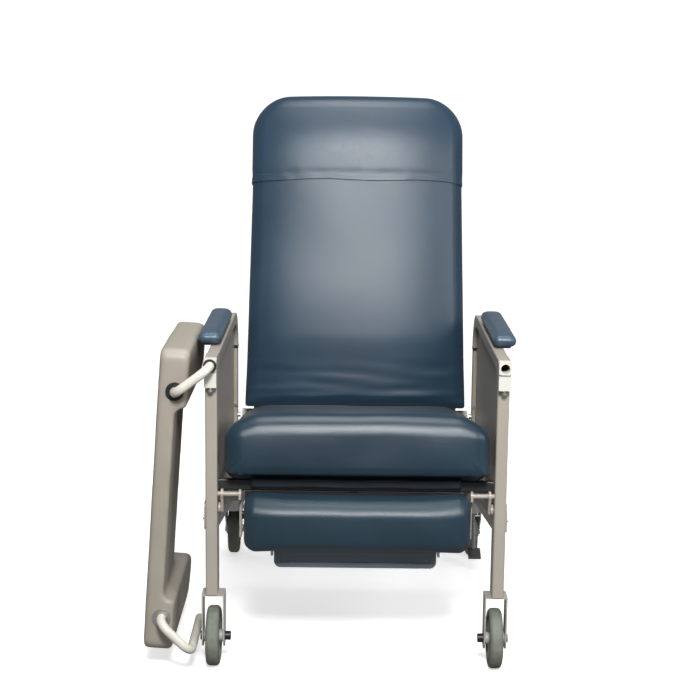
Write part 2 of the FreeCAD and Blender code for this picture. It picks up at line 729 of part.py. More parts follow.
def latch_box(side, name):
    start = (low_x(side, SIDE_INNER, "side_outer"), "-post_deep/2 - latch_deep",
             f"{LATCH_TOP} - latch_tall")
    body = box(f"{name}_body", *start, "tube_wide", "latch_deep", "latch_tall")
    hole = rod(f"{name}_hole", "z", "pin_radius + fit", (f"{side}*{BORE_MIDDLE}", PIN_BACK,
                                                         f"{LATCH_TOP} - 2*latch_tall"), "3*latch_tall")
    return cut(name, body, [hole])


both("latch_boxes", latch_box)
for side, word in ((LEFT, "left"), (RIGHT, "right")):
    x = f"{side}*{BORE_MIDDLE}"
    foot = f"({LATCH_TOP} - latch_tall - pin_hang)"
    stem = rod(f"latch_stem_{word}", "z", "pin_radius", (x, PIN_BACK, foot),
               f"socket_height - tray_tube - pin_gap - {foot}")
    head = rod(f"latch_head_{word}", "z", "2*pin_radius", (x, PIN_BACK, foot), "pin_head")
    node(f"latch_pin_{word}", [join(f"latch_{word}", [stem, head])])


# Wheels: two fixed in front, two swivelling behind.
def tyre(name, x, y):
    centre = ("0", "0")
    crown = lambda edge: not straight(edge) and edge.Curve.Radius > number("wheel_radius - 1")
    body = block(name, "YZ_Plane", "tyre_wide", [], circles=[(*centre, "wheel_radius"),
                                                             (*centre, "rim_radius")],
                 rounds=[("tyre_round", crown)])
    return place(body, f"{x} - tyre_wide/2", y, "wheel_radius")


def hub(name, x, y, bore, boss_half):
    at = lambda half: (f"{x} - {half}", y, "wheel_radius")
    disc = rod(f"{name}_disc", "x", "rim_radius", at("hub_half"), "2*hub_half")
    boss = rod(f"{name}_boss", "x", "boss_radius", at(boss_half), f"2*{boss_half}")
    hole = rod(f"{name}_bore", "x", bore, at(f"({boss_half} + 1)"), f"2*({boss_half} + 1)")
    return cut(name, join(f"{name}_whole", [disc, boss]), [hole])


REAR_AXLE_BACK = "(stem_back + trail)"
for side, word in ((LEFT, "left"), (RIGHT, "right")):
    node(f"front_tyre_{word}", [tyre(f"front_ring_{word}", f"{side}*front_track", "0")])
    node(f"front_hub_{word}", [hub(f"front_centre_{word}", f"{side}*front_track", "0", "front_axle + fit",
                                   "(fork_half - plate_thick - hub_play)")])
    node(f"rear_tyre_{word}", [tyre(f"rear_ring_{word}", f"{side}*rear_track", REAR_AXLE_BACK)])
    node(f"rear_hub_{word}", [hub(f"rear_centre_{word}", f"{side}*rear_track", REAR_AXLE_BACK,
                                  "rear_axle + fit",
                                  "(caster_half - plate_thick - hub_play)")])


def front_fork(side, name):
    x = f"{side}*front_track"
    bridge = box(f"{name}_bridge", f"{x} - fork_half", "-fork_reach", "post_foot - plate_thick",
                 "2*fork_half", "2*fork_reach",
                 "plate_thick")
    cheeks = []
    for index, start in enumerate((f"{x} - fork_half", f"{x} + fork_half - plate_thick")):
        plate = box(f"{name}_plate_{index}", start, "-fork_reach", "wheel_radius", "plate_thick",
                    "2*fork_reach",
                    "post_foot - wheel_radius")
        foot = rod(f"{name}_foot_{index}", "x", "fork_reach", (start, 0, "wheel_radius"), "plate_thick")
        cheeks += [plate, foot]
    hole = rod(f"{name}_hole", "x", "front_axle", (f"{x} - 2*fork_half", 0, "wheel_radius"), "4*fork_half")
    return cut(name, join(f"{name}_whole", [bridge] + cheeks), [hole])


both("front_forks", front_fork)


def front_axle(side, name):
    inner, outer = "(front_track - fork_half)", "(front_track + fork_half)"
    bolt = side_rod(f"{name}_bolt", side, "front_axle", f"{inner} - nut_tall", f"{outer} + bolt_tall", 0,
                    "wheel_radius")
    head = side_rod(f"{name}_head", side, "nut_radius", outer, f"{outer} + bolt_tall", 0, "wheel_radius")
    nut = side_rod(f"{name}_nut", side, "nut_radius", f"{inner} - nut_tall", inner, 0, "wheel_radius")
    return join(name, [bolt, head, nut])


both("front_axles", front_axle)


def caster_plate(side, name):
    x = f"{side}*rear_track"
    plate = box(f"{name}_plate", f"{x} - caster_square/2", "stem_back - caster_square/2",
                "beam_foot - caster_thick",
                "caster_square", "caster_square", "caster_thick")
    hole = rod(f"{name}_hole", "z", "stem_radius + fit", (x, "stem_back", "beam_foot - 2*caster_thick"),
               "3*caster_thick")
    return cut(name, plate, [hole])


both("caster_plates", caster_plate)

CROWN_TOP = "(beam_foot - caster_thick - hub_play)"
for side, word in ((LEFT, "left"), (RIGHT, "right")):
    x = f"{side}*rear_track"
    crown = rod(f"crown_{word}", "z", "crown_radius", (x, "stem_back", f"{CROWN_TOP} - crown_tall"),
                "crown_tall")
    stem = rod(f"stem_{word}", "z", "stem_radius", (x, "stem_back", f"{CROWN_TOP} - crown_tall"),
               "crown_tall + caster_thick")
    cheeks = []
    for index, start in enumerate((f"{x} - caster_half", f"{x} + caster_half - plate_thick")):
        outline = [
            (f"{REAR_AXLE_BACK} - cheek_round", "wheel_radius"),
            (f"{REAR_AXLE_BACK} + cheek_round", "wheel_radius"),
            ("stem_back + cheek_reach", f"{CROWN_TOP} - 1"),
            ("stem_back - cheek_reach", f"{CROWN_TOP} - 1"),
            ("stem_back - cheek_reach", f"{CROWN_TOP} - crown_tall - cheek_round"),
        ]
        cheek = place(block(f"cheek_{word}_{index}", "YZ_Plane", "plate_thick", [outline]), start, 0, 0)
        foot = rod(f"cheek_foot_{word}_{index}", "x", "cheek_round",
                   (start, REAR_AXLE_BACK, "wheel_radius"), "plate_thick")
        cheeks += [cheek, foot]
    axle = rod(f"caster_axle_{word}", "x", "rear_axle", (f"{x} - caster_half", REAR_AXLE_BACK,
                                                         "wheel_radius"), "2*caster_half")
    heads = [
        rod(f"caster_head_{word}_{index}", "x", "nut_radius", (start, REAR_AXLE_BACK, "wheel_radius"),
            "bolt_tall")
        for index, start in enumerate((f"{x} - caster_half - bolt_tall", f"{x} + caster_half"))
    ]
    parts = [crown, stem, axle] + cheeks + heads
    if side == RIGHT:
        pin_start = (f"{x} - caster_half", "pedal_back", "pedal_high")
        parts.append(rod(f"pedal_pin_{word}", "x", "pedal_pin", pin_start, "2*caster_half"))
    node(f"caster_fork_{word}", [join(f"caster_{word}", parts)])


# Brake pedal, on the right caster.
PEDAL_X = "(rear_track - pedal_thick/2)"
arm = block("pedal_arm", "YZ_Plane", "pedal_thick", [[
    ("pedal_back + pedal_round", "pedal_high + pedal_round"),
    ("pedal_back - pedal_round", "pedal_high + pedal_round"),
    ("pedal_tip + pedal_round", "pedal_low + pedal_round"),
    ("pedal_tip + pedal_round", "pedal_low"),
    ("pedal_tip + 3*pedal_round", "pedal_low"),
    ("pedal_back + pedal_round", "pedal_high - pedal_round"),
]])
tread = block("pedal_tread", "YZ_Plane", "pedal_wide", [[
    ("pedal_tip - pedal_long", "pedal_low - pedal_long/2"),
    ("pedal_tip + 2*pedal_round", "pedal_low"),
    ("pedal_tip + 2*pedal_round", "pedal_low + pedal_round"),
    ("pedal_tip - pedal_long", "pedal_low - pedal_long/2 + pedal_round"),
]])
eye = rod("pedal_eye", "x", "pedal_pin + fit", ("rear_track - pedal_wide", "pedal_back", "pedal_high"),
          "2*pedal_wide")
solid = join("pedal_whole", [place(arm, PEDAL_X, 0, 0), place(tread, "rear_track - pedal_wide/2", 0, 0)])
node("brake_pedal_right", [cut("pedal", solid, [eye])])

# Locking strut between the rear beam and the backrest.
LOCK_BACK = "(pivot_back + arm_reach*(1 + cos(lock_swing))/2)"
LOCK_HIGH = "(pivot_height + arm_reach*sin(lock_swing))"
sleeve = rod("lock_sleeve", "z", "lock_outer", ("0", LOCK_BACK, "beam_top"), "lock_tall")
bore = rod("lock_bore", "z", "lock_inner + fit", ("0", LOCK_BACK, "beam_top + 1"), "lock_tall")
node("lock_cylinder", [cut("lock_tube", sleeve, [bore])])
EYE_DEEP = "(link_pin + arm_reach*(1 - cos(lock_swing))/2 + hub_play)"
stem = rod("lock_stem", "z", "lock_inner", ("0", LOCK_BACK, "beam_top + lock_travel"),
           f"{LOCK_HIGH} - beam_top - lock_travel")
head = box("lock_head", "-lock_half", f"{LOCK_BACK} - lock_round", f"{LOCK_HIGH} - lock_half - 1",
           "2*lock_half",
           "2*lock_round", "2*lock_half + 2")
slot = box("lock_slot", "-2*lock_half", f"{LOCK_BACK} - {EYE_DEEP}", f"{LOCK_HIGH} - link_pin - hub_play",
           "4*lock_half",
           f"2*{EYE_DEEP}", "2*(link_pin + hub_play)")
node("lock_rod", [cut("lock_bar", join("lock_solid", [stem, head]), [slot])])


# Backrest: drawn upright about its hinge, then leaned back.
def lean(piece, x="0"):
    return place(piece, x, "pivot_back", "pivot_height", axis=(-1, 0, 0), angle="back_lean")


def leaned(name, half, low_y, high_y, low_z, high_z, plane="YZ_Plane", rounds=()):
    """A piece of the backrest, the same on both sides of the middle."""
    if plane == "YZ_Plane":
        return lean(block(name, plane, f"2*{half}", [rectangle(low_y, high_y, low_z, high_z)],
                          rounds=rounds), f"-{half}")
    deep = f"({high_y}) - ({low_y})"
    body = block(name, plane, deep, [rectangle(f"-{half}", half, low_z, high_z)], rounds=rounds)
    lean(body)
    bind(body, ".Placement.Base.y", f"pivot_back + ({low_y})*cos(back_lean)")
    bind(body, ".Placement.Base.z", f"pivot_height - ({low_y})*sin(back_lean)")
    return body


def cover_corner(edge):
    return runs_along(edge, Y_AXIS) and middle(edge).z > number("back_high - 1")


def front_rim(edge):
    return middle(edge).y < 0.01 and middle(edge).z > number("hem_height + 2")


def cushion_rim(edge):
    point = middle(edge)
    return point.y < 0.01 and point.z < number("hem_height - 1")


node("back_cushion", [leaned("back_cushion_block", "back_half", "-back_face", "-back_rear", "back_low",
                             "hem_height - hem_gap",
                             plane="XZ_Plane", rounds=[("back_round", cushion_rim)])])
node("headrest_cover", [leaned("headrest_block", "(back_half - hem_gap)", "-back_face", "-back_rear",
                               "hem_height", "back_high",
                               plane="XZ_Plane", rounds=[("crown_round", cover_corner),
                                                         ("back_round", front_rim)])])
node("back_board", [leaned("back_board_sheet", "(back_half - board_inset)", "-back_rear", "-back_rear/2",
                           "back_low",
                           "back_high - 2*board_inset", plane="XZ_Plane",
                           rounds=[("crown_round", lambda edge: runs_along(edge,
                               Y_AXIS) and middle(edge).z > number("hem_height"))])])


def back_upright(side, name):
    low = low_x(side, "upright_mid - rail_wide/2", "upright_mid + rail_wide/2")
    tube = hollow(name, "XY_Plane", "upright_high - cross_top", low, f"{low} + rail_wide", "-back_rear/2",
                  "rail_wide - back_rear/2")
    lean(tube)
    bind(tube, ".Placement.Base.y", "pivot_back + cross_top*sin(back_lean)")
    bind(tube, ".Placement.Base.z", "pivot_height + cross_top*cos(back_lean)")
    return tube


both("back_uprights", back_upright)
cross = hollow("back_cross", "YZ_Plane", "2*bracket_inner", "-back_rear/2", "rail_wide - back_rear/2",
               "cross_top - rail_wide",
               "cross_top")
ears = []
for side, word in ((LEFT, "left"), (RIGHT, "right")):
    ear = block(f"lock_ear_{word}", "YZ_Plane", "link_thick", [[
        ("rail_wide - back_rear/2", "cross_top - rail_wide"),
        ("ear_reach + ear_round", "ear_rise - ear_round/2"),
        ("ear_reach", "ear_rise + ear_round"),
        ("rail_wide - back_rear/2", "cross_top"),
    ]])
    ears.append(lean(ear, low_x(side, "lock_half + 0.5", "lock_half + 0.5 + link_thick")))
pin = rod("lock_pin", "x", "link_pin", ("-lock_half - link_thick", "pivot_back + arm_reach*cos(lock_swing)",
                                        LOCK_HIGH),
          "2*(lock_half + link_thick)")
node("back_cross_tube", [join("back_cross_whole", [lean(cross, "-bracket_inner"), pin] + ears)])
LUG = ("pivot_back - lug_drop*sin(back_lean)", "pivot_height - lug_drop*cos(back_lean)")
BRACKET_OUT = "(bracket_inner + link_thick)"


def back_bracket(side, name):
    plate = block(f"{name}_plate", "YZ_Plane", "link_thick", [[
        ("-link_round", "-lug_drop"),
        ("link_round", "-lug_drop"),
        ("rail_wide - back_rear/2", "cross_top - rail_wide"),
        ("rail_wide - back_rear/2", "cross_top"),
        ("-link_round - back_rear/2", "cross_top"),
        ("-link_round - back_rear/2", "cross_top - rail_wide"),
    ]])
    lean(plate, low_x(side, "bracket_inner", BRACKET_OUT))
    foot = side_rod(f"{name}_foot", side, "link_round", "bracket_inner", BRACKET_OUT, *LUG)
    pin = side_rod(f"{name}_pin", side, "link_pin", "bracket_inner", "link_inner + link_thick + 0.5", *LUG)
    hole = side_rod(f"{name}_hole", side, "pivot_radius", "bracket_inner - 1", f"{BRACKET_OUT} + 1",
                    "pivot_back", "pivot_height")
    return cut(name, join(f"{name}_whole", [plate, foot, pin]), [hole])


both("back_brackets", back_bracket)


def pivot_bolt(side, name):
    shank = side_rod(f"{name}_shank", side, "pivot_radius", "bracket_inner", "side_outer + hub_play",
                     "pivot_back", "pivot_height")
    head = side_rod(f"{name}_head", side, "nut_radius", "side_outer + hub_play",
                    "side_outer + bolt_tall + hub_play", "pivot_back",
                    "pivot_height")
    return join(name, [shank, head])


both("pivot_bolts", pivot_bolt)
bar = rod("push_bar_rail", "x", "push_radius", ("-upright_mid - push_radius", "push_back", "push_high"),
          "2*(upright_mid + push_radius)")
stays = [
    rod(f"push_stay_{word}", "y", "push_radius - tube_wall", (f"{side}*upright_mid",
                                                              "rail_wide - back_rear/2", "push_high"),
        "push_back - rail_wide + back_rear/2")
    for side, word in ((LEFT, "left"), (RIGHT, "right"))
]
node("push_bar", [lean(join("push_bar_whole", [bar] + stays))])


def push_grip(side, name):
    at = (low_x(side, "grip_inner", "grip_outer"), "push_back", "push_high")
    sleeve = rod(f"{name}_sleeve", "x", "push_radius + plate_thick", at, "grip_outer - grip_inner")
    core = rod(f"{name}_core", "x", "push_radius", at, "grip_outer - grip_inner")
    return lean(cut(name, sleeve, [core]))


both("push_grips", push_grip)

# Leg rest, with its arms, cranks and foot flap.
ARM_OUT = "(arm_inner + link_thick)"
CRANK = ("lift_front + crank_back", "lift_height - crank_drop")


def leg_arm(side, name):
    arm = place(block(f"{name}_plate", "YZ_Plane", "link_thick", [[
        ("lift_front - arm_round", "lift_height"),
        ("lift_front + arm_round", "lift_height"),
        ("arm_back", "lift_height - 2*arm_round"),
        ("arm_back", "arm_low"),
        ("0", "arm_low"),
        ("0", "lift_height - 2*arm_round"),
        ("lift_front - arm_round", "lift_height - arm_round"),
    ]]), low_x(side, "arm_inner", ARM_OUT), 0, 0)
    ear = side_rod(f"{name}_ear", side, "arm_round", "arm_inner", ARM_OUT, "lift_front", "lift_height")
    shaft = side_rod(f"{name}_shaft", side, "shaft_radius", "arm_inner", "shaft_end", "lift_front",
                     "lift_height")
    boss = side_rod(f"{name}_boss", side, "link_round", "bracket_inner", BRACKET_OUT, "lift_front",
                    "lift_height")
    crank = place(block(f"{name}_crank", "YZ_Plane", "link_thick", [[
        ("lift_front - link_round", "lift_height"),
        ("lift_front + link_round", "lift_height"),
        ("lift_front + crank_back + link_round", "lift_height - crank_drop"),
        ("lift_front + crank_back - link_round", "lift_height - crank_drop"),
    ]]), low_x(side, "bracket_inner", BRACKET_OUT), 0, 0)
    foot = side_rod(f"{name}_foot", side, "link_round", "bracket_inner", BRACKET_OUT, *CRANK)
    pin = side_rod(f"{name}_pin", side, "link_pin", "bracket_inner", "link_inner + link_thick + 0.5",
                   *CRANK)
    return join(name, [arm, ear, shaft, boss, crank, foot, pin])


both("legrest_arms", leg_arm)
tie = hollow("footrest_tie", "YZ_Plane", "2*arm_inner", "foot_board_back", "arm_back", "tie_low",
             "tie_low + arm_back - foot_board_back")
node("footrest_cross_tube", [place(tie, "-arm_inner", 0, 0)])
sheet_board = box("footrest_sheet", "-foot_half + 2*plate_thick",
                  "foot_board_back - link_thick - plate_thick", "foot_low + link_thick",
                  "2*foot_half - 4*plate_thick", "link_thick + plate_thick",
                  "foot_high - foot_low - 2*link_thick - plate_thick")
node("footrest_board", [sheet_board])


def pad_nose(edge):
    return runs_along(edge, X_AXIS) and middle(edge).y < number("foot_front + 1")


footrest = block("footrest_block", "YZ_Plane", "2*foot_half", [rectangle("foot_front",
        "foot_front + foot_thick - 1", "foot_low", "foot_high")],
                 rounds=[("foot_round", pad_nose)])
node("footrest_pad", [place(footrest, "-foot_half", 0, 0)])
FLAP_MIDDLE = "(flap_front + flap_thick/2)"


def flap_bracket(side, name):
    return side_box(name, side, "flap_half + 2", "flap_half + 2 + link_thick", "foot_board_back",
                    "flap_hinge - flap_thick/2",
                    "flap_front + flap_thick - foot_board_back", "bracket_tall")


spindle = rod("flap_spindle", "x", "link_pin", ("-flap_half - 3", FLAP_MIDDLE, "flap_hinge"),
              "2*(flap_half + 3)")
node("flap_brackets", [join("flap_stirrup", [flap_bracket(LEFT, "flap_bracket_left"),
                                             flap_bracket(RIGHT, "flap_bracket_right"), spindle])])
flap = place(block("flap_board", "YZ_Plane", "2*flap_half", [rectangle("flap_front",
        "flap_front + flap_thick", "flap_low", "flap_high")],
                   rounds=[("flap_round", level_edge)]), "-flap_half", 0, 0)
hole = rod("flap_hole", "x", "link_pin + fit", ("-flap_half - 1", FLAP_MIDDLE, "flap_hinge"),
           "2*(flap_half + 1)")
node("foot_flap", [cut("flap", flap, [hole])])


def recline_link(side, name):
    span = (LUG[0] + " - lift_front - crank_back", LUG[1] + " - lift_height + crank_drop")
    bar = place(block(f"{name}_bar", "YZ_Plane", "link_thick", [[
        (CRANK[0], f"{CRANK[1]} - link_round"),
        (LUG[0], f"{LUG[1]} - link_round"),
        (LUG[0], f"{LUG[1]} + link_round"),
        (CRANK[0], f"{CRANK[1]} + link_round"),
    ]]), low_x(side, "link_inner", "link_inner + link_thick"), 0, 0)
    ends = [
        side_rod(f"{name}_end_{index}", side, "link_round", "link_inner", "link_inner + link_thick", *at)
        for index, at in enumerate((LUG, CRANK))
    ]
    close = side_rod(f"{name}_close", side, "link_pin + fit", "link_inner - 1",
                     "link_inner + link_thick + 1", *LUG)
    loose = side_rod(f"{name}_loose", side, "link_pin + link_play", "link_inner - 1",
                     "link_inner + link_thick + 1", *CRANK)
    return cut(name, join(f"{name}_whole", [bar] + ends), [close, loose])


both("recline_links", recline_link)


# Tray: drawn level, as in use, about its right tube, then hung on edge from the left socket.
def hang(piece, y="0"):
    return place(piece, f"-{BORE_MIDDLE}", f"{SOCKET_FRONT} + {y}", "socket_height", axis=(0, -1, 0),
                 angle="tray_hang")


TRAY_TUBE_LOW = f"(-2*{BORE_MIDDLE})"
WING = "(recess_half + wing_lead)"
NECK = "(recess_half - wing_lead)"
MIDDLE = f"(-{BORE_MIDDLE})"
outline = [
    (f"{MIDDLE} + tray_low", "0"),
    (f"{MIDDLE} + tray_high", "0"),
    (f"{MIDDLE} + tray_high", "tray_deep"),
    (f"{MIDDLE} + {WING}", "tray_deep"),
    (f"{MIDDLE} + {NECK}", "tray_waist"),
    (f"{MIDDLE} - {NECK}", "tray_waist"),
    (f"{MIDDLE} - {WING}", "tray_deep"),
    (f"{MIDDLE} + tray_low", "tray_deep"),
]


def rim(edge):
    return abs(middle(edge).z) < 0.01 or abs(middle(edge).z - number("tray_top - tray_under")) < 0.01




def far_corner(edge):
    point = middle(edge)
    outboard = abs(point.x - number(MIDDLE)) > number("-tray_low - 1")
    return runs_along(edge, Z_AXIS) and outboard and point.y > number("tray_deep - 1")


slab = block("tray_slab", "XY_Plane", "tray_top - tray_under", [outline],
             rounds=[("tray_sweep", far_corner), ("tray_corner", lambda edge: at_point(edge, outline)),
                     ("tray_edge", rim)])
place(slab, 0, 0, "tray_under")
hollow_out = block("tray_recess", "XZ_Plane", "2*tray_deep",
                   [rectangle(f"{MIDDLE} - recess_half", f"{MIDDLE} + recess_half",
                              "tray_under - 2*tray_edge", "tray_thin")],
                   rounds=[("recess_round", lambda edge: runs_along(edge,
                       Y_AXIS) and middle(edge).z > number("tray_under"))])
place(hollow_out, 0, "-tray_deep/2", 0)
node("tray_board", [hang(cut("tray", slab, [hollow_out]))])


def tube_path(x_flange, x_socket):
    """The middle line of a tray tube: out of the tray, round a loop ahead of it, and back into a socket."""
    high = number("flange_high")
    reach, radius, insert = number("loop_reach"), number("loop_radius"), number("tube_insert")
    start, end = Vector(number(x_flange), 0, high), Vector(number(x_socket), 0, 0)
    across = (end - start).normalize()
    ahead = Vector(0, -1, 0)
    corner = radius * (1 - 0.5 ** 0.5)
    first = [start + ahead * (reach - radius), start + ahead * (reach - corner) + across * corner,
             start + ahead * reach + across * radius]
    last = [end + ahead * reach - across * radius, end + ahead * (reach - corner) - across * corner,
            end + ahead * (reach - radius)]
    return Part.Wire([
        Part.makeLine(start, first[0]),
        Part.Arc(*first).toShape(),
        Part.makeLine(first[2], last[0]),
        Part.Arc(*last).toShape(),
        Part.makeLine(last[2], end - ahead * insert),
    ]), start, ahead


def tray_tube(name, x_flange, x_socket):
    path, start, ahead = tube_path(x_flange, x_socket)
    skins = []
    for radius in (number("tray_tube"), number("tray_tube - tube_wall")):
        ring = Part.Wire([Part.makeCircle(radius, start, ahead)])
        skins.append(path.makePipeShell([ring], True, False))
    piece = doc.addObject("Part::Feature", name)
    piece.Shape = skins[0].cut(skins[1])
    return hang(piece)


node("tray_tubes", [
    tray_tube("tray_tube_upper", f"{MIDDLE} + flange_mid", "0"),
    tray_tube("tray_tube_lower", f"{MIDDLE} - flange_mid", TRAY_TUBE_LOW),
])


def tray_flange(name, x):
    disc = rod(f"{name}_disc", "y", "flange_radius", (x, "-plate_thick", "flange_high"), "plate_thick")
    core = rod(f"{name}_core", "y", "tray_tube", (x, "-2*plate_thick", "flange_high"), "3*plate_thick")
    return hang(cut(name, disc, [core]))


node("tray_flanges", [
    tray_flange("tray_flange_upper", f"{MIDDLE} + flange_mid"),
    tray_flange("tray_flange_lower", f"{MIDDLE} - flange_mid"),
])
ring = rod("washer_ring", "y", "washer_radius", (f"-{BORE_MIDDLE}",
        f"{SOCKET_FRONT} - plate_thick - hub_play", "socket_height"), "plate_thick")
core = rod("washer_core", "y", "bore_radius", (f"-{BORE_MIDDLE}", f"{SOCKET_FRONT} - 2*plate_thick",
                                               "socket_height"), "3*plate_thick")
node("tray_washer", [cut("washer", ring, [core])])

# Check every object, then write one file for each finished sub-part.
doc.recompute()
faults = [
    f"{item.Name}: {item.State}"
    for item in doc.Objects
    if "Invalid" in item.State or "Error" in item.State
]
os.makedirs("parts", exist_ok=True)
for piece in nodes:
    if piece.Shape.isNull() or not piece.Shape.isValid() or not piece.Shape.Solids:
        faults.append(f"{piece.Label}: bad shape")
if faults:
    raise RuntimeError("; ".join(faults))
for piece in nodes:
    piece.Shape.exportStep(f"parts/{piece.Label}.step")
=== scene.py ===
"""Patient recliner chair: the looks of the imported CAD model. Metres; left is -X as seen from in front."""

import json
import math

import bmesh
import bpy
import numpy as np
from mathutils import Matrix, Vector, kdtree, noise


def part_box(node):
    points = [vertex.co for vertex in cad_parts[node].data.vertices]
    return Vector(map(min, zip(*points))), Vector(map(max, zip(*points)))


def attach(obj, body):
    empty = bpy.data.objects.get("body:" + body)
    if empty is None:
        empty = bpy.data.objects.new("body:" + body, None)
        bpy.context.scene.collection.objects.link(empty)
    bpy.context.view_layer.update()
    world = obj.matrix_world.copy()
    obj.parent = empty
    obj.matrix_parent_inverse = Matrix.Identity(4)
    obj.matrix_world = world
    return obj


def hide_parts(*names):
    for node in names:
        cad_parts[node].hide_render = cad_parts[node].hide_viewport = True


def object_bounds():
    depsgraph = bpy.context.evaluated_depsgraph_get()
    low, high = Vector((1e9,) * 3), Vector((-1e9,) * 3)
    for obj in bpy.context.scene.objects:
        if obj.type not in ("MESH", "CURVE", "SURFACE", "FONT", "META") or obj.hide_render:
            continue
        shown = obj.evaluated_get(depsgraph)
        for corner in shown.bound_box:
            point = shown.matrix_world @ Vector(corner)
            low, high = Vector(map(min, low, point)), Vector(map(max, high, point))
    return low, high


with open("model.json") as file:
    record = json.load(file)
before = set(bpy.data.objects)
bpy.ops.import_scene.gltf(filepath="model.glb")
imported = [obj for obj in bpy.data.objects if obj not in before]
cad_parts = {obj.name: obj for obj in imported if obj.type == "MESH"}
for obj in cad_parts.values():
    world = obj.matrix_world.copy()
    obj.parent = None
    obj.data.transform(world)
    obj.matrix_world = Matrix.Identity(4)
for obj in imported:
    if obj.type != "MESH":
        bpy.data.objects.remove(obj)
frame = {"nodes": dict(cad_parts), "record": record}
cad_low, cad_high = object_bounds()
NODES = frame["nodes"]
JOINTS = {joint["name"]: joint for joint in frame["record"]["behaviour"]["joints"]}

# Slopes and sizes that the cushions share with the CAD model.
SEAT_SLOPE = math.radians(9.5)
BACK_LEAN = math.radians(13)
SEAT_HALF, SEAT_LONG, SEAT_THICK = 0.280, 0.525, 0.122
BACK_HALF, BACK_FRONT, BACK_REAR = 0.270, 0.111, 0.016
BACK_FOOT, HEM, BACK_TOP = 0.030, 0.572, 0.784

seat_low, seat_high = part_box("seat_cushion")
MIDDLE = (seat_low.x + seat_high.x) / 2
SEAT_FRAME = (
    Matrix.Translation((MIDDLE, seat_low.y, seat_low.z + SEAT_LONG * math.sin(SEAT_SLOPE)))
    @ Matrix.Rotation(-SEAT_SLOPE, 4, "X")
)
hinge = Vector(JOINTS["back_recline"]["pos_m"])
BACK_FRAME = Matrix.Translation((MIDDLE, hinge.y, hinge.z)) @ Matrix.Rotation(-BACK_LEAN, 4, "X")


# ---------------------------------------------------------------- materials

class Nodes:
    """A short way to write a material's node tree."""

    def __init__(self, name):
        self.material = bpy.data.materials.new(name)
        self.material.use_nodes = True
        self.tree = self.material.node_tree
        self.shader = self.tree.nodes["Principled BSDF"]
        self.place = self.add("ShaderNodeTexCoord").outputs["Object"]

    def add(self, kind, **settings):
        made = self.tree.nodes.new(kind)
        for key, value in settings.items():
            setattr(made, key, value)
        return made

    def link(self, out, into):
        self.tree.links.new(out, into)

    def noise(self, scale, detail=3.0, rough=0.5, stretch=None):
        made = self.add("ShaderNodeTexNoise")
        made.inputs["Scale"].default_value = scale
        made.inputs["Detail"].default_value = detail
        made.inputs["Roughness"].default_value = rough
        self.link(self.stretched(stretch), made.inputs["Vector"])
        return made.outputs["Fac"]

    def stretched(self, stretch):
        if stretch is None:
            return self.place
        mapping = self.add("ShaderNodeMapping")
        mapping.inputs["Scale"].default_value = stretch
        self.link(self.place, mapping.inputs["Vector"])
        return mapping.outputs["Vector"]

    def cells(self, scale, feature="DISTANCE_TO_EDGE"):
        made = self.add("ShaderNodeTexVoronoi", feature=feature)
        made.inputs["Scale"].default_value = scale
        self.link(self.place, made.inputs["Vector"])
        return made.outputs["Distance"]

    def ramp(self, factor, low, high, start=0.3, end=0.7):
        made = self.add("ShaderNodeValToRGB")
        made.color_ramp.elements[0].position = start
        made.color_ramp.elements[1].position = end
        made.color_ramp.elements[0].color = (*low, 1)
        made.color_ramp.elements[1].color = (*high, 1)
        self.link(factor, made.inputs["Fac"])
        return made.outputs["Color"]

    def span(self, factor, low, high, start=0.0, end=1.0):
        made = self.add("ShaderNodeMapRange")
        for key, value in (("From Min", start), ("From Max", end), ("To Min", low), ("To Max", high)):
            made.inputs[key].default_value = value
        self.link(factor, made.inputs["Value"])
        return made.outputs["Result"]

    def mix(self, factor, first, second):
        made = self.add("ShaderNodeMix", data_type="RGBA")
        self.link(factor, made.inputs["Factor"])
        for value, key in ((first, "A"), (second, "B")):
            socket = next(s for s in made.inputs if s.name == key and s.type == "RGBA")
            if isinstance(value, tuple):
                socket.default_value = (*value, 1)
            else:
                self.link(value, socket)
        return next(s for s in made.outputs if s.type == "RGBA")

    def bump(self, height, strength, distance, under=None):
        made = self.add("ShaderNodeBump")
        made.inputs["Strength"].default_value = strength
        made.inputs["Distance"].default_value = distance
        self.link(height, made.inputs["Height"])
        if under is not None:
            self.link(under, made.inputs["Normal"])
        return made.outputs["Normal"]

    def finish(self, colour, rough, normal=None, **fixed):
        self.link(colour, self.shader.inputs["Base Color"])
        if isinstance(rough, float):
            self.shader.inputs["Roughness"].default_value = rough
        else:
            self.link(rough, self.shader.inputs["Roughness"])
        if normal is not None:
            self.link(normal, self.shader.inputs["Normal"])
        for key, value in fixed.items():
            self.shader.inputs[key.replace("_", " ")].default_value = value
        return self.material


def shade(colour, factor):
    return tuple(min(1.0, channel * factor) for channel in colour)


def vinyl(name, colour, rough=0.42):
    """Upholstery vinyl: leather-like grain, soft mottling and slightly rubbed high spots."""
    made = Nodes(name)
    mottle = made.noise(5, 4)
    scuff = made.noise(60, 5, 0.65)
    tone = made.ramp(mottle, shade(colour, 0.88), shade(colour, 1.12))
    tone = made.mix(made.span(scuff, 0.0, 0.35, 0.55, 0.8), tone, shade(colour, 1.35))
    grain = made.cells(900)
    pores = made.noise(1500, 2)
    normal = made.bump(grain, 0.35, 0.0006)
    normal = made.bump(pores, 0.15, 0.0003, normal)
    roughness = made.span(mottle, rough - 0.05, rough + 0.07)
    sheen = {"Sheen_Weight": 0.03, "Sheen_Roughness": 0.5}
    return made.finish(tone, roughness, normal, Specular_IOR_Level=0.5, **sheen)


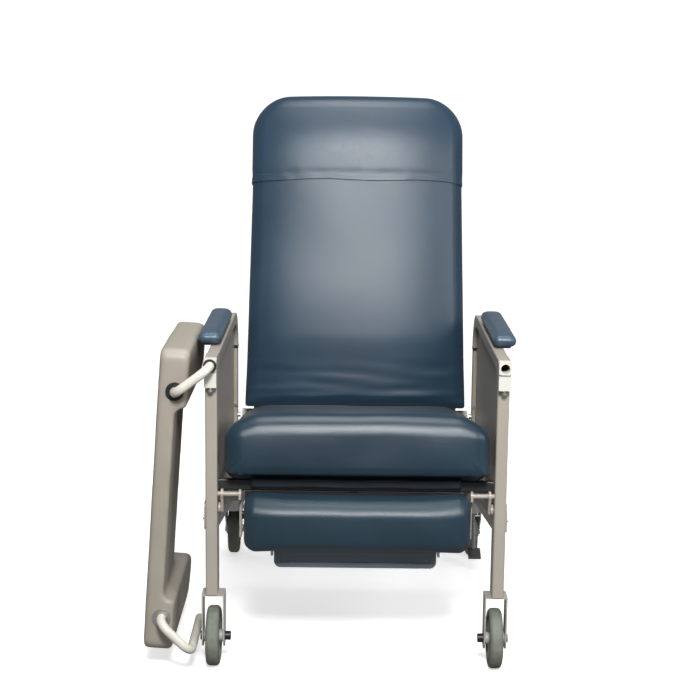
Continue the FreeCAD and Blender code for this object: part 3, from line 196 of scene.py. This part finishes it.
def enamel(name, colour):
    """Baked enamel on steel: orange peel, faint dirt and small chips of darker paint."""
    made = Nodes(name)
    dirt = made.noise(7, 5, 0.6)
    tone = made.ramp(dirt, shade(colour, 0.93), colour)
    chips = made.noise(160, 2, 0.4)
    tone = made.mix(made.span(chips, 0.0, 0.6, 0.74, 0.78), tone, shade(colour, 0.55))
    peel = made.noise(420, 2)
    coat = {"Coat_Weight": 0.15, "Coat_Roughness": 0.2}
    return made.finish(tone, made.span(dirt, 0.30, 0.42), made.bump(peel, 0.08, 0.0004), **coat)


def moulded(name, colour, rough=0.5, grain=700, depth=0.0004):
    """Moulded plastic with a fine spark-eroded texture."""
    made = Nodes(name)
    cloud = made.noise(6, 4)
    tone = made.ramp(cloud, shade(colour, 0.92), shade(colour, 1.05))
    speck = made.noise(grain, 3, 0.6)
    tone = made.mix(made.span(speck, 0.0, 0.25, 0.5, 0.75), tone, shade(colour, 0.8))
    return made.finish(tone, made.span(cloud, rough - 0.06, rough + 0.08), made.bump(speck, 0.3, depth))


def zinc(name, colour=(0.62, 0.62, 0.60), rough=0.32):
    """Zinc-plated steel, with the fine spangle and streaks of the plating."""
    made = Nodes(name)
    spangle = made.cells(260, "F1")
    streak = made.noise(90, 4, 0.5, (1, 1, 6))
    tone = made.ramp(streak, shade(colour, 0.82), shade(colour, 1.1))
    rough_map = made.span(spangle, rough - 0.06, rough + 0.12, 0.0, 0.6)
    return made.finish(tone, rough_map, made.bump(streak, 0.06, 0.0002), Metallic=1.0)


def rubber(name, colour):
    """Grey non-marking rubber, dusty where it rolls."""
    made = Nodes(name)
    dust = made.noise(45, 5, 0.6)
    tone = made.ramp(dust, shade(colour, 0.8), shade(colour, 1.2))
    fine = made.noise(900, 3)
    return made.finish(tone, made.span(dust, 0.6, 0.8), made.bump(fine, 0.25, 0.0004))


def laminate(name, colour):
    """Almond laminate on board, with a faint mottled print."""
    made = Nodes(name)
    print_fine = made.noise(240, 4, 0.7)
    cloud = made.noise(9, 3)
    paper = made.ramp(cloud, shade(colour, 0.95), colour)
    tone = made.mix(made.span(print_fine, 0.0, 0.3, 0.45, 0.65), paper, shade(colour, 0.86))
    return made.finish(tone, made.span(cloud, 0.38, 0.5), made.bump(print_fine, 0.05, 0.0002))


# One vinyl covers the chair and these are copies of it: the seat and foot copies are darker, painted shade,
# and the arm copy is lighter, a painted highlight. The back copy is the plain vinyl.
VINYL_BACK = vinyl("vinyl_back", (0.013, 0.034, 0.058), 0.33)
VINYL_SEAT_PAINTED_SHADE = vinyl("vinyl_seat_painted_shade", (0.008, 0.024, 0.040), 0.31)
VINYL_FOOT_PAINTED_SHADE = vinyl("vinyl_foot_painted_shade", (0.012, 0.030, 0.046), 0.34)
VINYL_ARM_PAINTED_LIGHT = vinyl("vinyl_arm_painted_light", (0.034, 0.064, 0.098), 0.31)
# The lip copy of the vinyl is the darkest: painted shade under the seat's front.
VINYL_LIP_PAINTED_SHADE = vinyl("vinyl_lip_painted_shade", (0.006, 0.012, 0.018), 0.45)
ALMOND = enamel("almond_enamel", (0.355, 0.32, 0.27))
PANEL = laminate("almond_laminate", (0.36, 0.33, 0.285))
TRAY = moulded("tray_plastic", (0.305, 0.277, 0.230), 0.5)
ZINC = zinc("zinc_plate")
DARK_STEEL = zinc("dark_steel", (0.20, 0.20, 0.20), 0.4)
BLACK = moulded("black_plastic", (0.012, 0.012, 0.013), 0.4)
WHITE = moulded("white_plastic", (0.62, 0.60, 0.54), 0.38, 500)
HUB = moulded("hub_plastic", (0.36, 0.37, 0.35), 0.45)
TYRE = rubber("tyre_rubber", (0.150, 0.160, 0.130))
FLAP = moulded("flap_plastic", (0.150, 0.190, 0.235), 0.42)
FORK = enamel("fork_paint", (0.40, 0.37, 0.33))
# Near-black enamel for the cross tubes under the seat and leg rest: painted shade where they sit in shadow.
STEEL_PAINTED_SHADE = enamel("steel_painted_shade", (0.012, 0.012, 0.013))
CREAM = enamel("tube_cream", (0.62, 0.59, 0.52))
THREAD = vinyl("stitch_thread", (0.05, 0.08, 0.11), 0.6)

SLOT_MATERIAL = {
    "vinyl": VINYL_BACK,
    "pad_vinyl": VINYL_ARM_PAINTED_LIGHT,
    "frame_paint": ALMOND,
    "panel_board": PANEL,
    # The hidden board gets the darkest vinyl copy: painted shade.
    "hidden_board": VINYL_LIP_PAINTED_SHADE,
    "tray_plastic": TRAY,
    "zinc": ZINC,
    "black_plastic": BLACK,
    "white_plastic": WHITE,
    "hub_plastic": HUB,
    "tyre_rubber": TYRE,
}
NODE_MATERIAL = {
    "foot_flap": FLAP,
    "recline_links": ALMOND,
    "front_axles": BLACK,
    "brake_pedal_right": DARK_STEEL,
    "front_forks": FORK,
    "tray_tubes": CREAM,
    "seat_cross_tubes": STEEL_PAINTED_SHADE,
    "footrest_cross_tube": STEEL_PAINTED_SHADE,
}


def dress(piece, material):
    piece.data.materials.clear()
    piece.data.materials.append(material)


for part in frame["record"]["subparts"]:
    usual = SLOT_MATERIAL[part["material_slot"]]
    dress(NODES[part["node"]], NODE_MATERIAL.get(part["node"], usual))


# ---------------------------------------------------------------- mesh helpers

def adopt(name, mesh, material, body, nodes=()):
    """Makes a finished mesh a piece of the chair."""
    piece = bpy.data.objects.new(name, mesh)
    bpy.context.scene.collection.objects.link(piece)
    dress(piece, material)
    for face in mesh.polygons:
        face.use_smooth = True
    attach(piece, body)
    if nodes:
        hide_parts(*nodes)
    return piece


def coords(mesh):
    flat = np.empty(len(mesh.vertices) * 3)
    mesh.vertices.foreach_get("co", flat)
    return flat.reshape(-1, 3)


def set_coords(mesh, points):
    mesh.vertices.foreach_set("co", points.ravel())
    mesh.update()


def applied(piece):
    """The mesh of a scratch object with its modifiers applied; the object is deleted."""
    graph = bpy.context.evaluated_depsgraph_get()
    mesh = bpy.data.meshes.new_from_object(piece.evaluated_get(graph))
    bpy.data.objects.remove(piece)
    return mesh


def scratch(mesh):
    piece = bpy.data.objects.new("scratch", mesh)
    bpy.context.scene.collection.objects.link(piece)
    return piece


def even(mesh, voxel):
    """The same closed shape as an even mesh of small quads."""
    piece = scratch(mesh)
    remesh = piece.modifiers.new("even", "REMESH")
    remesh.mode = "VOXEL"
    remesh.voxel_size = voxel
    return applied(piece)


def finished(grid, name):
    """A mesh made from a bmesh, which is freed."""
    mesh = bpy.data.meshes.new(name)
    grid.to_mesh(mesh)
    grid.free()
    return mesh


def extruded(outline, front, rear):
    """A bmesh slab: an outline of (x, z) points between two depths."""
    grid = bmesh.new()
    ring = [grid.verts.new((x, front, z)) for x, z in outline]
    made = bmesh.ops.extrude_face_region(grid, geom=[grid.faces.new(ring)])
    for item in made["geom"]:
        if isinstance(item, bmesh.types.BMVert):
            item.co.y = rear
    bmesh.ops.recalc_face_normals(grid, faces=grid.faces[:])
    return grid


def block_mesh(low, high, radius, voxel):
    """A rounded box as an even mesh of small quads."""
    grid = bmesh.new()
    bmesh.ops.create_cube(grid, size=1)
    low, high = Vector(low), Vector(high)
    for vert in grid.verts:
        vert.co = Vector((low[i] + high[i]) / 2 + vert.co[i] * (high[i] - low[i]) for i in range(3))
    bmesh.ops.bevel(grid, geom=grid.edges[:], offset=radius, segments=4, profile=0.5, affect="EDGES")
    return even(finished(grid, "block"), voxel)


EASING = 70
PRESSURE = 4.0
LAST_FRAME = 20
TINY = 1e-9


def eased(mesh, moved):
    """Averages each point's move with its neighbours', over and over, so that no small creases stay."""
    ends = np.empty(len(mesh.edges) * 2, dtype=np.int64)
    mesh.edges.foreach_get("vertices", ends)
    start, end = ends.reshape(-1, 2).T
    total = len(mesh.vertices)
    links = 1 + np.bincount(ends, minlength=total)
    for _ in range(EASING):
        columns = [
            moved[:, axis]
            + np.bincount(start, weights=moved[end, axis], minlength=total)
            + np.bincount(end, weights=moved[start, axis], minlength=total)
            for axis in range(3)
        ]
        moved = np.column_stack(columns) / links[:, None]
    return moved


def inflate(mesh, cap):
    """Blows a closed skin up with a cloth simulation; no point moves further than cap."""
    before = coords(mesh)
    piece = scratch(mesh)
    cloth = piece.modifiers.new("pressure", "CLOTH")
    settings = cloth.settings
    settings.use_pressure = True
    settings.uniform_pressure_force = PRESSURE
    settings.mass = 0.3
    settings.tension_stiffness = 30
    settings.compression_stiffness = 8
    settings.shear_stiffness = 8
    settings.bending_stiffness = 0.8
    settings.effector_weights.gravity = 0
    cloth.collision_settings.use_collision = False
    scene = bpy.context.scene
    for number in range(1, LAST_FRAME + 1):
        scene.frame_set(number)
    after_mesh = applied(piece)
    scene.frame_set(1)
    moved = coords(after_mesh) - before
    reach = np.linalg.norm(moved, axis=1, keepdims=True)
    moved *= np.minimum(1.0, cap / np.maximum(reach, TINY))
    set_coords(after_mesh, before + eased(after_mesh, moved))
    return after_mesh


def to_place(mesh, matrix):
    mesh.transform(matrix)
    mesh.update()


def unit(values, low, high):
    """Where values lie between low and high, from -1 to 1."""
    return np.clip((values - (low + high) / 2) / ((high - low) / 2), -1, 1)


def ripple(points, scale, seed):
    """Smooth noise at every point, about -1 to 1."""
    shift = Vector((seed, 2 * seed, -seed))
    return np.array([noise.noise(Vector(point) * scale + shift) for point in points.tolist()])


def step(values, start, end):
    """A smooth step from 0 at start to 1 at end."""
    part = np.clip((values - start) / (end - start), 0, 1)
    return part * part * (3 - 2 * part)


# ---------------------------------------------------------------- cushions

BOARD = 0.012
SEAT_SKEW = 0.005
SEAT_VOXEL, SEAT_ROUND, SEAT_CAP = 0.006, 0.030, 0.006
LINK_CLEAR = 0.2795


def seat_cushion():
    """The seat: one roll of vinyl over foam and board, plump along the front, with sharp lower corners."""
    crown, rear_drop, side_drop, bulge = 0.010, 0.003, 0.016, 0.005
    point_out, point_ahead, point_down = 0.008, 0.010, 0.004
    pleat_deep, pleat_pitch, sag = 0.0028, 0.021, 0.003
    lip_drop, relief = 0.009, 0.005
    low = (-SEAT_HALF, 0.0, -BOARD)
    high = (SEAT_HALF, SEAT_LONG - 0.002, SEAT_THICK - 0.004)
    mesh = inflate(block_mesh(low, high, SEAT_ROUND, SEAT_VOXEL), SEAT_CAP)
    points = coords(mesh)
    x, y, z = points.T
    across, along, up = (unit(points[:, axis], low[axis], high[axis]) for axis in range(3))
    side = np.abs(across)
    # The top: a crown behind the front edge, a fall to the rear and softer sides.
    top = step(up, 0.0, 1.0)
    z += crown * top * (1 - side ** 4) * np.exp(-((y - 0.04) / 0.07) ** 2)
    z -= rear_drop * top * step(along, -0.7, 0.4)
    z -= side_drop * top * step(side, 0.72, 1.0)
    # The front: a slight bulge, pointed lower corners and pleats that run up from them.
    front = step(-y, -0.05, 0.0)
    y -= bulge * front * (1 - np.abs(up) ** 3) * (1 - side ** 5)
    corner = step(side, 0.88, 1.0) * front * step(-up, 0.3, 1.0)
    x += np.sign(x) * point_out * corner
    y -= point_ahead * corner
    z -= point_down * corner
    pleat = np.sin((np.abs(x) + z * 0.9) * 2 * math.pi / pleat_pitch)
    y += pleat_deep * step(side, 0.74, 0.97) * front * step(-up, 0.0, 0.9) * pleat
    z -= sag * front * step(-up, 0.4, 1.0) * (1 - side ** 2)
    y += 0.0012 * front * ripple(points, 12, 3.0)
    z += 0.0020 * top * ripple(points, 8, 5.0)
    x += SEAT_SKEW * front
    # The sides stay clear of the links, and the underside of the raised leg rest.
    clear = step(-z, -0.055, -0.03) * step(y, 0.10, 0.20)
    x -= np.sign(x) * clear * np.maximum(0, np.abs(x) - LINK_CLEAR)
    lip = step(-y, -0.012, 0.0)
    behind = step(y, 0.040, 0.055)
    z[:] = np.maximum(z, -lip_drop * lip - BOARD * behind + relief * (1 - lip) * (1 - behind))
    set_coords(mesh, np.column_stack((x, y, z)))
    to_place(mesh, SEAT_FRAME)
    covered = ["seat_cushion", "seat_board"]
    # The seat's vinyl copy is darker: painted shade.
    adopt("seat_cushion_skin", mesh, VINYL_SEAT_PAINTED_SHADE, "frame", covered)


BACK_TAPER = 0.013
ROUND_TOP = 0.094
BACK_VOXEL, BACK_ROUND, BACK_CAP = 0.006, 0.026, 0.008
SPREAD, UNDERHANG, OVERHANG = 0.004, 0.015, 0.008


def taper(x, z):
    """Narrows the backrest towards its top."""
    return x * (1 - BACK_TAPER / BACK_HALF * (z - BACK_FOOT) / (BACK_TOP - BACK_FOOT))


def back_outline(half, foot, top):
    """The backrest seen from in front: straight sides and round top corners."""
    centre_x, centre_z = half - ROUND_TOP, top - ROUND_TOP
    sweep = np.linspace(0, math.pi / 2, 14)
    right = [(centre_x + ROUND_TOP * math.cos(a), centre_z + ROUND_TOP * math.sin(a)) for a in sweep]
    left = [(-px, pz) for px, pz in reversed(right)]
    return [(half, foot)] + right + left + [(-half, foot)]


def back_roll():
    """The whole backrest as one crowned cushion, rolled under at its foot and over at its top."""
    crown, roll_under, roll_over, belly, arch = 0.034, 0.014, 0.026, 0.005, 0.006
    half, front_face = BACK_HALF + SPREAD, -BACK_FRONT + 0.003
    outline = back_outline(half, BACK_FOOT - UNDERHANG, BACK_TOP + OVERHANG)
    grid = extruded(outline, front_face, -BACK_REAR)
    rim = [edge for edge in grid.edges if all(abs(vert.co.y - front_face) < 1e-6 for vert in edge.verts)]
    bmesh.ops.bevel(grid, geom=rim, offset=BACK_ROUND, segments=5, profile=0.5, affect="EDGES")
    mesh = inflate(even(finished(grid, "roll"), BACK_VOXEL), BACK_CAP)
    points = coords(mesh)
    x, y, z = points.T
    side = np.abs(unit(x, -half, half))
    front = step(-y, BACK_FRONT * 0.30, BACK_FRONT)
    y += crown * front * side ** 2.4
    y += roll_under * front * step(-z, -BACK_FOOT - 0.17, -BACK_FOOT)
    y += roll_over * front * step(z, HEM + 0.02, BACK_TOP + 0.02) ** 2
    y -= belly * front * np.exp(-((z - 0.26) / 0.13) ** 2)
    z -= arch * step(z, HEM, BACK_TOP) * side ** 2
    y += 0.0014 * front * ripple(points, 6, 8.0)
    foot = front * step(-z, -BACK_FOOT - 0.15, -BACK_FOOT - 0.01)
    y += 0.0030 * foot * ripple(np.column_stack((x * 0.35, y * 0, z * 2.4)), 22, 1.0)
    x = taper(x, z)
    y[:] = np.minimum(y, -BACK_REAR)
    set_coords(mesh, np.column_stack((x, y, z)))
    return mesh


def back_cushion(roll):
    """The crowned cushion over the whole backrest."""
    mesh = roll.copy()
    to_place(mesh, BACK_FRAME)
    covered = ["back_cushion", "headrest_cover"]
    adopt("back_cushion_skin", mesh, VINYL_BACK, "back", covered)


def trimmed(grid, place, normal, **side):
    """Cuts a bmesh with a plane and drops one side."""
    everything = grid.verts[:] + grid.edges[:] + grid.faces[:]
    bmesh.ops.bisect_plane(grid, geom=everything, plane_co=place, plane_no=normal, **side)


def headrest_cover(roll):
    """The loose cover pulled over the top of the backrest; its hem lies close to the cushion."""
    gap, flare, pinch, cloth = 0.0026, 0.0012, 0.0011, 0.0016
    wave, ear = 0.0018, 0.004
    grid = bmesh.new()
    grid.from_mesh(roll)
    trimmed(grid, (0, 0, HEM), (0, 0, 1), clear_inner=True)
    trimmed(grid, (0, -BACK_REAR - 0.002, 0), (0, 1, 0), clear_outer=True)
    mesh = finished(grid, "cover")
    normals = np.zeros(len(mesh.vertices) * 3)
    mesh.vertices.foreach_get("normal", normals)
    points = coords(mesh)
    hem = 1 - step(points[:, 2], HEM, HEM + 0.028)
    across = points[:, 0] / BACK_HALF
    crease = np.exp(-((points[:, 2] - HEM - 0.016) / 0.008) ** 2)
    stand = gap + flare * hem * ripple(points, 30, 3.0)
    stand -= pinch * crease * (1 + ripple(points * (1, 1, 0.2), 26, 6.0))
    points += normals.reshape(-1, 3) * stand[:, None]
    points[:, 2] -= hem * (wave * np.sin(across * 7 + 0.6) + ear * step(np.abs(across), 0.8, 1.0))
    set_coords(mesh, points)
    piece = scratch(mesh)
    shell = piece.modifiers.new("cloth", "SOLIDIFY")
    shell.thickness = cloth
    shell.offset = -1
    mesh = applied(piece)
    to_place(mesh, BACK_FRAME)
    cover = adopt("headrest_cover_skin", mesh, VINYL_BACK, "back")
    return cover


def hem_stitches(cover):
    """Two rows of thread along the cover's hem, laid on its front."""
    rows, pitch, margin = (0.006, 0.012), 0.0068, 0.030
    stitch = Matrix.Diagonal((0.0045, 0.0009, 0.0010, 1))
    grid = bmesh.new()
    inverse = BACK_FRAME.inverted()
    surface = cover.data
    tree = kdtree.KDTree(len(surface.vertices))
    for index, vert in enumerate(surface.vertices):
        tree.insert(inverse @ vert.co, index)
    tree.balance()
    for row in rows:
        for place in np.arange(-BACK_HALF + margin, BACK_HALF - margin, pitch):
            near, _, _ = tree.find(Vector((place, -BACK_FRONT - 0.01, HEM + row)))
            height = HEM + row - 0.0016 * math.sin(place / BACK_HALF * 9 + 0.6)
            spot = Matrix.Translation((place, near.y - 0.0002, height))
            made = bmesh.ops.create_uvsphere(grid, u_segments=6, v_segments=5, radius=0.5)
            bmesh.ops.transform(grid, matrix=spot @ stitch, verts=made["verts"])
    mesh = finished(grid, "hem_stitches")
    to_place(mesh, BACK_FRAME)
    adopt("hem_stitches", mesh, THREAD, "back")


FOOT_SKEW = 0.003
FOOT_VOXEL, FOOT_ROUND, FOOT_CAP = 0.005, 0.026, 0.006


def footrest_pad():
    """The leg rest's pad: a vinyl roll with gathered ends and a nose that leans back at the top."""
    bulge, lean_back = 0.004, 0.016
    end_deep, end_pitch, gather_deep, gather_pitch = 0.0016, 0.015, 0.0022, 0.026
    low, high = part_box("footrest_pad")
    mesh = inflate(block_mesh(low, high, FOOT_ROUND, FOOT_VOXEL), FOOT_CAP)
    points = coords(mesh)
    x, y, z = points.T
    across, along = unit(x, low.x, high.x), unit(z, low.z, high.z)
    front = step(low.y + 0.05 - y, 0.0, 0.05)
    y -= bulge * front * (1 - along ** 2) * (1 - across ** 8)
    y += lean_back * front * step(along, 0.35, 1.0)
    ends = step(np.abs(across), 0.90, 1.0)
    z += end_deep * ends * np.sin(y * 2 * math.pi / end_pitch) * np.sign(along)
    gather = np.sin((np.abs(x - MIDDLE) + 0.25 * z) * 2 * math.pi / gather_pitch)
    y += gather_deep * front * step(np.abs(across), 0.84, 0.97) * gather * (1 - 0.5 * along)
    y += 0.0012 * front * ripple(points, 14, 6.0)
    z += 0.0016 * front * ripple(np.column_stack((x, y * 0, z * 0)), 9, 3.0)
    x += FOOT_SKEW
    y[:] = np.minimum(y, high.y)
    set_coords(mesh, np.column_stack((x, y, z)))
    # The pad's vinyl copy is a little darker: painted shade.
    pad = adopt("footrest_pad_skin", mesh, VINYL_FOOT_PAINTED_SHADE, "legrest", ["footrest_pad"])


ARM_VOXEL, ARM_ROUND = 0.0035, 0.010


def armrest_pad(word):
    """An armrest pad: a crowned top, tight sides and small tucks round its front corners."""
    crown, waist, tuck_deep, tuck_pitch, nose_out = 0.005, 0.0015, 0.0012, 0.007, 0.002
    node = f"armrest_pad_{word}"
    low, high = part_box(node)
    mesh = block_mesh(low, high, ARM_ROUND, ARM_VOXEL)
    points = coords(mesh)
    x, y, z = points.T
    across, along, up = (unit(points[:, axis], low[axis], high[axis]) for axis in range(3))
    top = step(up, -0.2, 1.0)
    z += crown * top * (1 - across ** 2) * (1 - along ** 6)
    x += np.sign(across) * waist * step(np.abs(across), 0.7, 1.0) * (1 - up ** 2)
    nose = step(low.y + 0.02 - y, 0.0, 0.02)
    tuck = nose * step(np.abs(across), 0.45, 1.0) * step(-up, -0.6, 0.6)
    y += tuck_deep * tuck * np.sin((z + np.abs(x - MIDDLE) * 0.7) * 2 * math.pi / tuck_pitch)
    y -= nose_out * nose * (1 - up ** 2)
    z += 0.0008 * top * ripple(points, 22, 4.0)
    set_coords(mesh, np.column_stack((x, y, z)))
    # The arm pad's vinyl copy is lighter: a painted highlight.
    adopt(f"{node}_skin", mesh, VINYL_ARM_PAINTED_LIGHT, "frame", [node])


LIP_VOXEL, LIP_ROUND, LIP_SPREAD = 0.003, 0.005, 0.008


def seat_apron():
    """The padded lip that fills the gap between the seat and the leg rest."""
    low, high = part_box("seat_apron")
    low, high = low - Vector((LIP_SPREAD, 0, 0)), high + Vector((LIP_SPREAD, 0, LIP_SPREAD))
    mesh = block_mesh(low, high, LIP_ROUND, LIP_VOXEL)
    points = coords(mesh)
    x, y, z = points.T
    ahead = step(low.y + 0.006 - y, 0, 0.006)
    y -= 0.0012 * ahead * (1 + ripple(points, 30, 9.0))
    z -= 0.0010 * ahead * np.sin(x * 40)
    set_coords(mesh, np.column_stack((x, y, z)))
    # The lip's near-black vinyl copy is painted shade.
    adopt("seat_apron_skin", mesh, VINYL_LIP_PAINTED_SHADE, "frame", ["seat_apron"])


def foot_flap():
    """The fold-down foot plate: round lower corners and a raised rim round a plain field."""
    radius, rim, sunk, worn = 0.014, 0.011, 0.002, 0.0009
    low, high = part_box("foot_flap")
    centre_x, centre_z = high.x - radius, low.z + radius
    sweep = np.linspace(0, math.pi / 2, 8)
    right = [(centre_x + radius * math.sin(a), centre_z - radius * math.cos(a)) for a in sweep]
    left = [(low.x + high.x - px, pz) for px, pz in reversed(right)]
    outline = left + right + [(high.x, high.z), (low.x, high.z)]
    grid = extruded(outline, low.y, high.y)
    plates = [face for face in grid.faces if abs(face.normal.y) > 0.9]
    bmesh.ops.inset_region(grid, faces=plates, thickness=rim, use_even_offset=True)
    bmesh.ops.inset_region(grid, faces=plates, thickness=sunk, depth=-sunk, use_even_offset=True)
    sharp = [edge for edge in grid.edges if len(edge.link_faces) == 2 and edge.calc_face_angle() > 0.7]
    bmesh.ops.bevel(grid, geom=sharp, offset=worn, segments=3, profile=0.5, affect="EDGES")
    mesh = finished(grid, "flap")
    adopt("foot_flap_plate", mesh, FLAP, "foot_flap", ["foot_flap"])


TRAY_VOXEL, TRAY_WARP = 0.005, 0.0009


def tray_skin():
    """The thermoformed tray: soft edges and slightly uneven faces, over the shape of the CAD tray."""
    mesh = even(NODES["tray_board"].data.copy(), TRAY_VOXEL)
    piece = scratch(mesh)
    soft = piece.modifiers.new("soft", "SMOOTH")
    soft.factor, soft.iterations = 0.5, 14
    mesh = applied(piece)
    points = coords(mesh)
    points[:, 0] += TRAY_WARP * ripple(points, 7, 12.0)
    points[:, 1] += TRAY_WARP * ripple(points, 9, 15.0)
    set_coords(mesh, points)
    adopt("tray_skin", mesh, TRAY, "tray", ["tray_board"])


def tray_collars():
    """The tray's upper collars are black rubber and the lower ones plated steel."""
    mesh = NODES["tray_flanges"].data
    dress(NODES["tray_flanges"], BLACK)
    mesh.materials.append(ZINC)
    low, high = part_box("tray_flanges")
    for face in mesh.polygons:
        face.material_index = int(face.center.z < (low.z + high.z) / 2)


seat_cushion()
back = back_roll()
back_cushion(back)
hem_stitches(headrest_cover(back))
footrest_pad()
for word in ("left", "right"):
    armrest_pad(word)
seat_apron()
foot_flap()
tray_skin()
tray_collars()



# ---------------------------------------------------------------- studio and camera

def area_light(name, place, target, size, power):
    data = bpy.data.lights.new(name, "AREA")
    data.shape = "RECTANGLE"
    data.size, data.size_y = size
    data.energy = power
    lamp = bpy.data.objects.new(name, data)
    bpy.context.scene.collection.objects.link(lamp)
    lamp.location = place
    lamp.rotation_euler = (Vector(target) - Vector(place)).to_track_quat("-Z", "Y").to_euler()


def backdrop():
    """A pale floor that sweeps up behind the chair."""
    reach, rise, bend, behind, glow = 14.0, 9.0, 3.0, 2.2, 0.62
    start = cad_high.y + behind
    sweep = np.linspace(0, math.pi / 2, 9)
    curve = [(start + bend * math.sin(a), bend - bend * math.cos(a)) for a in sweep]
    profile = [(-reach, 0.0)] + curve + [(start + bend, rise)]
    mesh = bpy.data.meshes.new("backdrop")
    points = [(side * reach, py, pz) for py, pz in profile for side in (-1, 1)]
    faces = [(2 * i, 2 * i + 1, 2 * i + 3, 2 * i + 2) for i in range(len(profile) - 1)]
    mesh.from_pydata(points, [], faces)
    paper = bpy.data.objects.new("backdrop", mesh)
    bpy.context.scene.collection.objects.link(paper)
    made = Nodes("backdrop_paper")
    tone = made.ramp(made.noise(0.8, 2), (0.88, 0.88, 0.88), (0.92, 0.92, 0.92))
    dress(paper, made.finish(tone, 0.9, Emission_Color=(1, 1, 1, 1), Emission_Strength=glow))
    paper.visible_diffuse = False
    paper.visible_glossy = False


AMBIENT = 0.24
# Each light: name, place from the middle of the seat's front edge, height it aims at, size, watts.
LIGHTS = (
    ("front", (0.08, -2.9, 2.85), 1.0, (0.75, 0.75), 188),
    ("right", (2.6, -1.6, 2.0), 0.6, (0.8, 1.4), 34),
    ("top", (0, 0.2, 3.2), 0.5, (1.4, 1.0), 40),
)


def studio():
    scene = bpy.context.scene
    scene.view_settings.view_transform = "Standard"
    scene.view_settings.look = "None"
    world = bpy.data.worlds.new("studio")
    scene.world = world
    world.use_nodes = True
    sky = world.node_tree.nodes["Background"]
    sky.inputs["Color"].default_value = (1, 1, 1, 1)
    sky.inputs["Strength"].default_value = AMBIENT
    backdrop()
    for name, (right, behind, height), aim, size, power in LIGHTS:
        place = (MIDDLE + right, seat_low.y + behind, height)
        area_light(name, place, (MIDDLE, 0, aim), size, power)


CAMERA_STAND = Vector((-0.030, -3.067, 1.286))
CAMERA_TURNS = (0.24, 9.56, 0.68)
LENS, SENSOR, SHIFT = 79.0, 36.0, -0.0514


def camera():
    """The photograph's view: a little above the seat, from the front, with a slight tilt."""
    data = bpy.data.cameras.new("photo_view")
    view = bpy.data.objects.new("photo_view", data)
    bpy.context.scene.collection.objects.link(view)
    data.lens = LENS
    data.sensor_width = SENSOR
    data.shift_y = SHIFT
    yaw, pitch, roll = (math.radians(turn) for turn in CAMERA_TURNS)
    view.location = Vector((MIDDLE, seat_low.y, 0)) + CAMERA_STAND
    ahead = Vector((math.sin(yaw) * math.cos(pitch), math.cos(yaw) * math.cos(pitch), -math.sin(pitch)))
    facing = ahead.to_track_quat("-Z", "Y").to_matrix().to_4x4()
    view.rotation_euler = (facing @ Matrix.Rotation(roll, 4, "Z")).to_euler()
    bpy.context.scene.camera = view


studio()
camera()
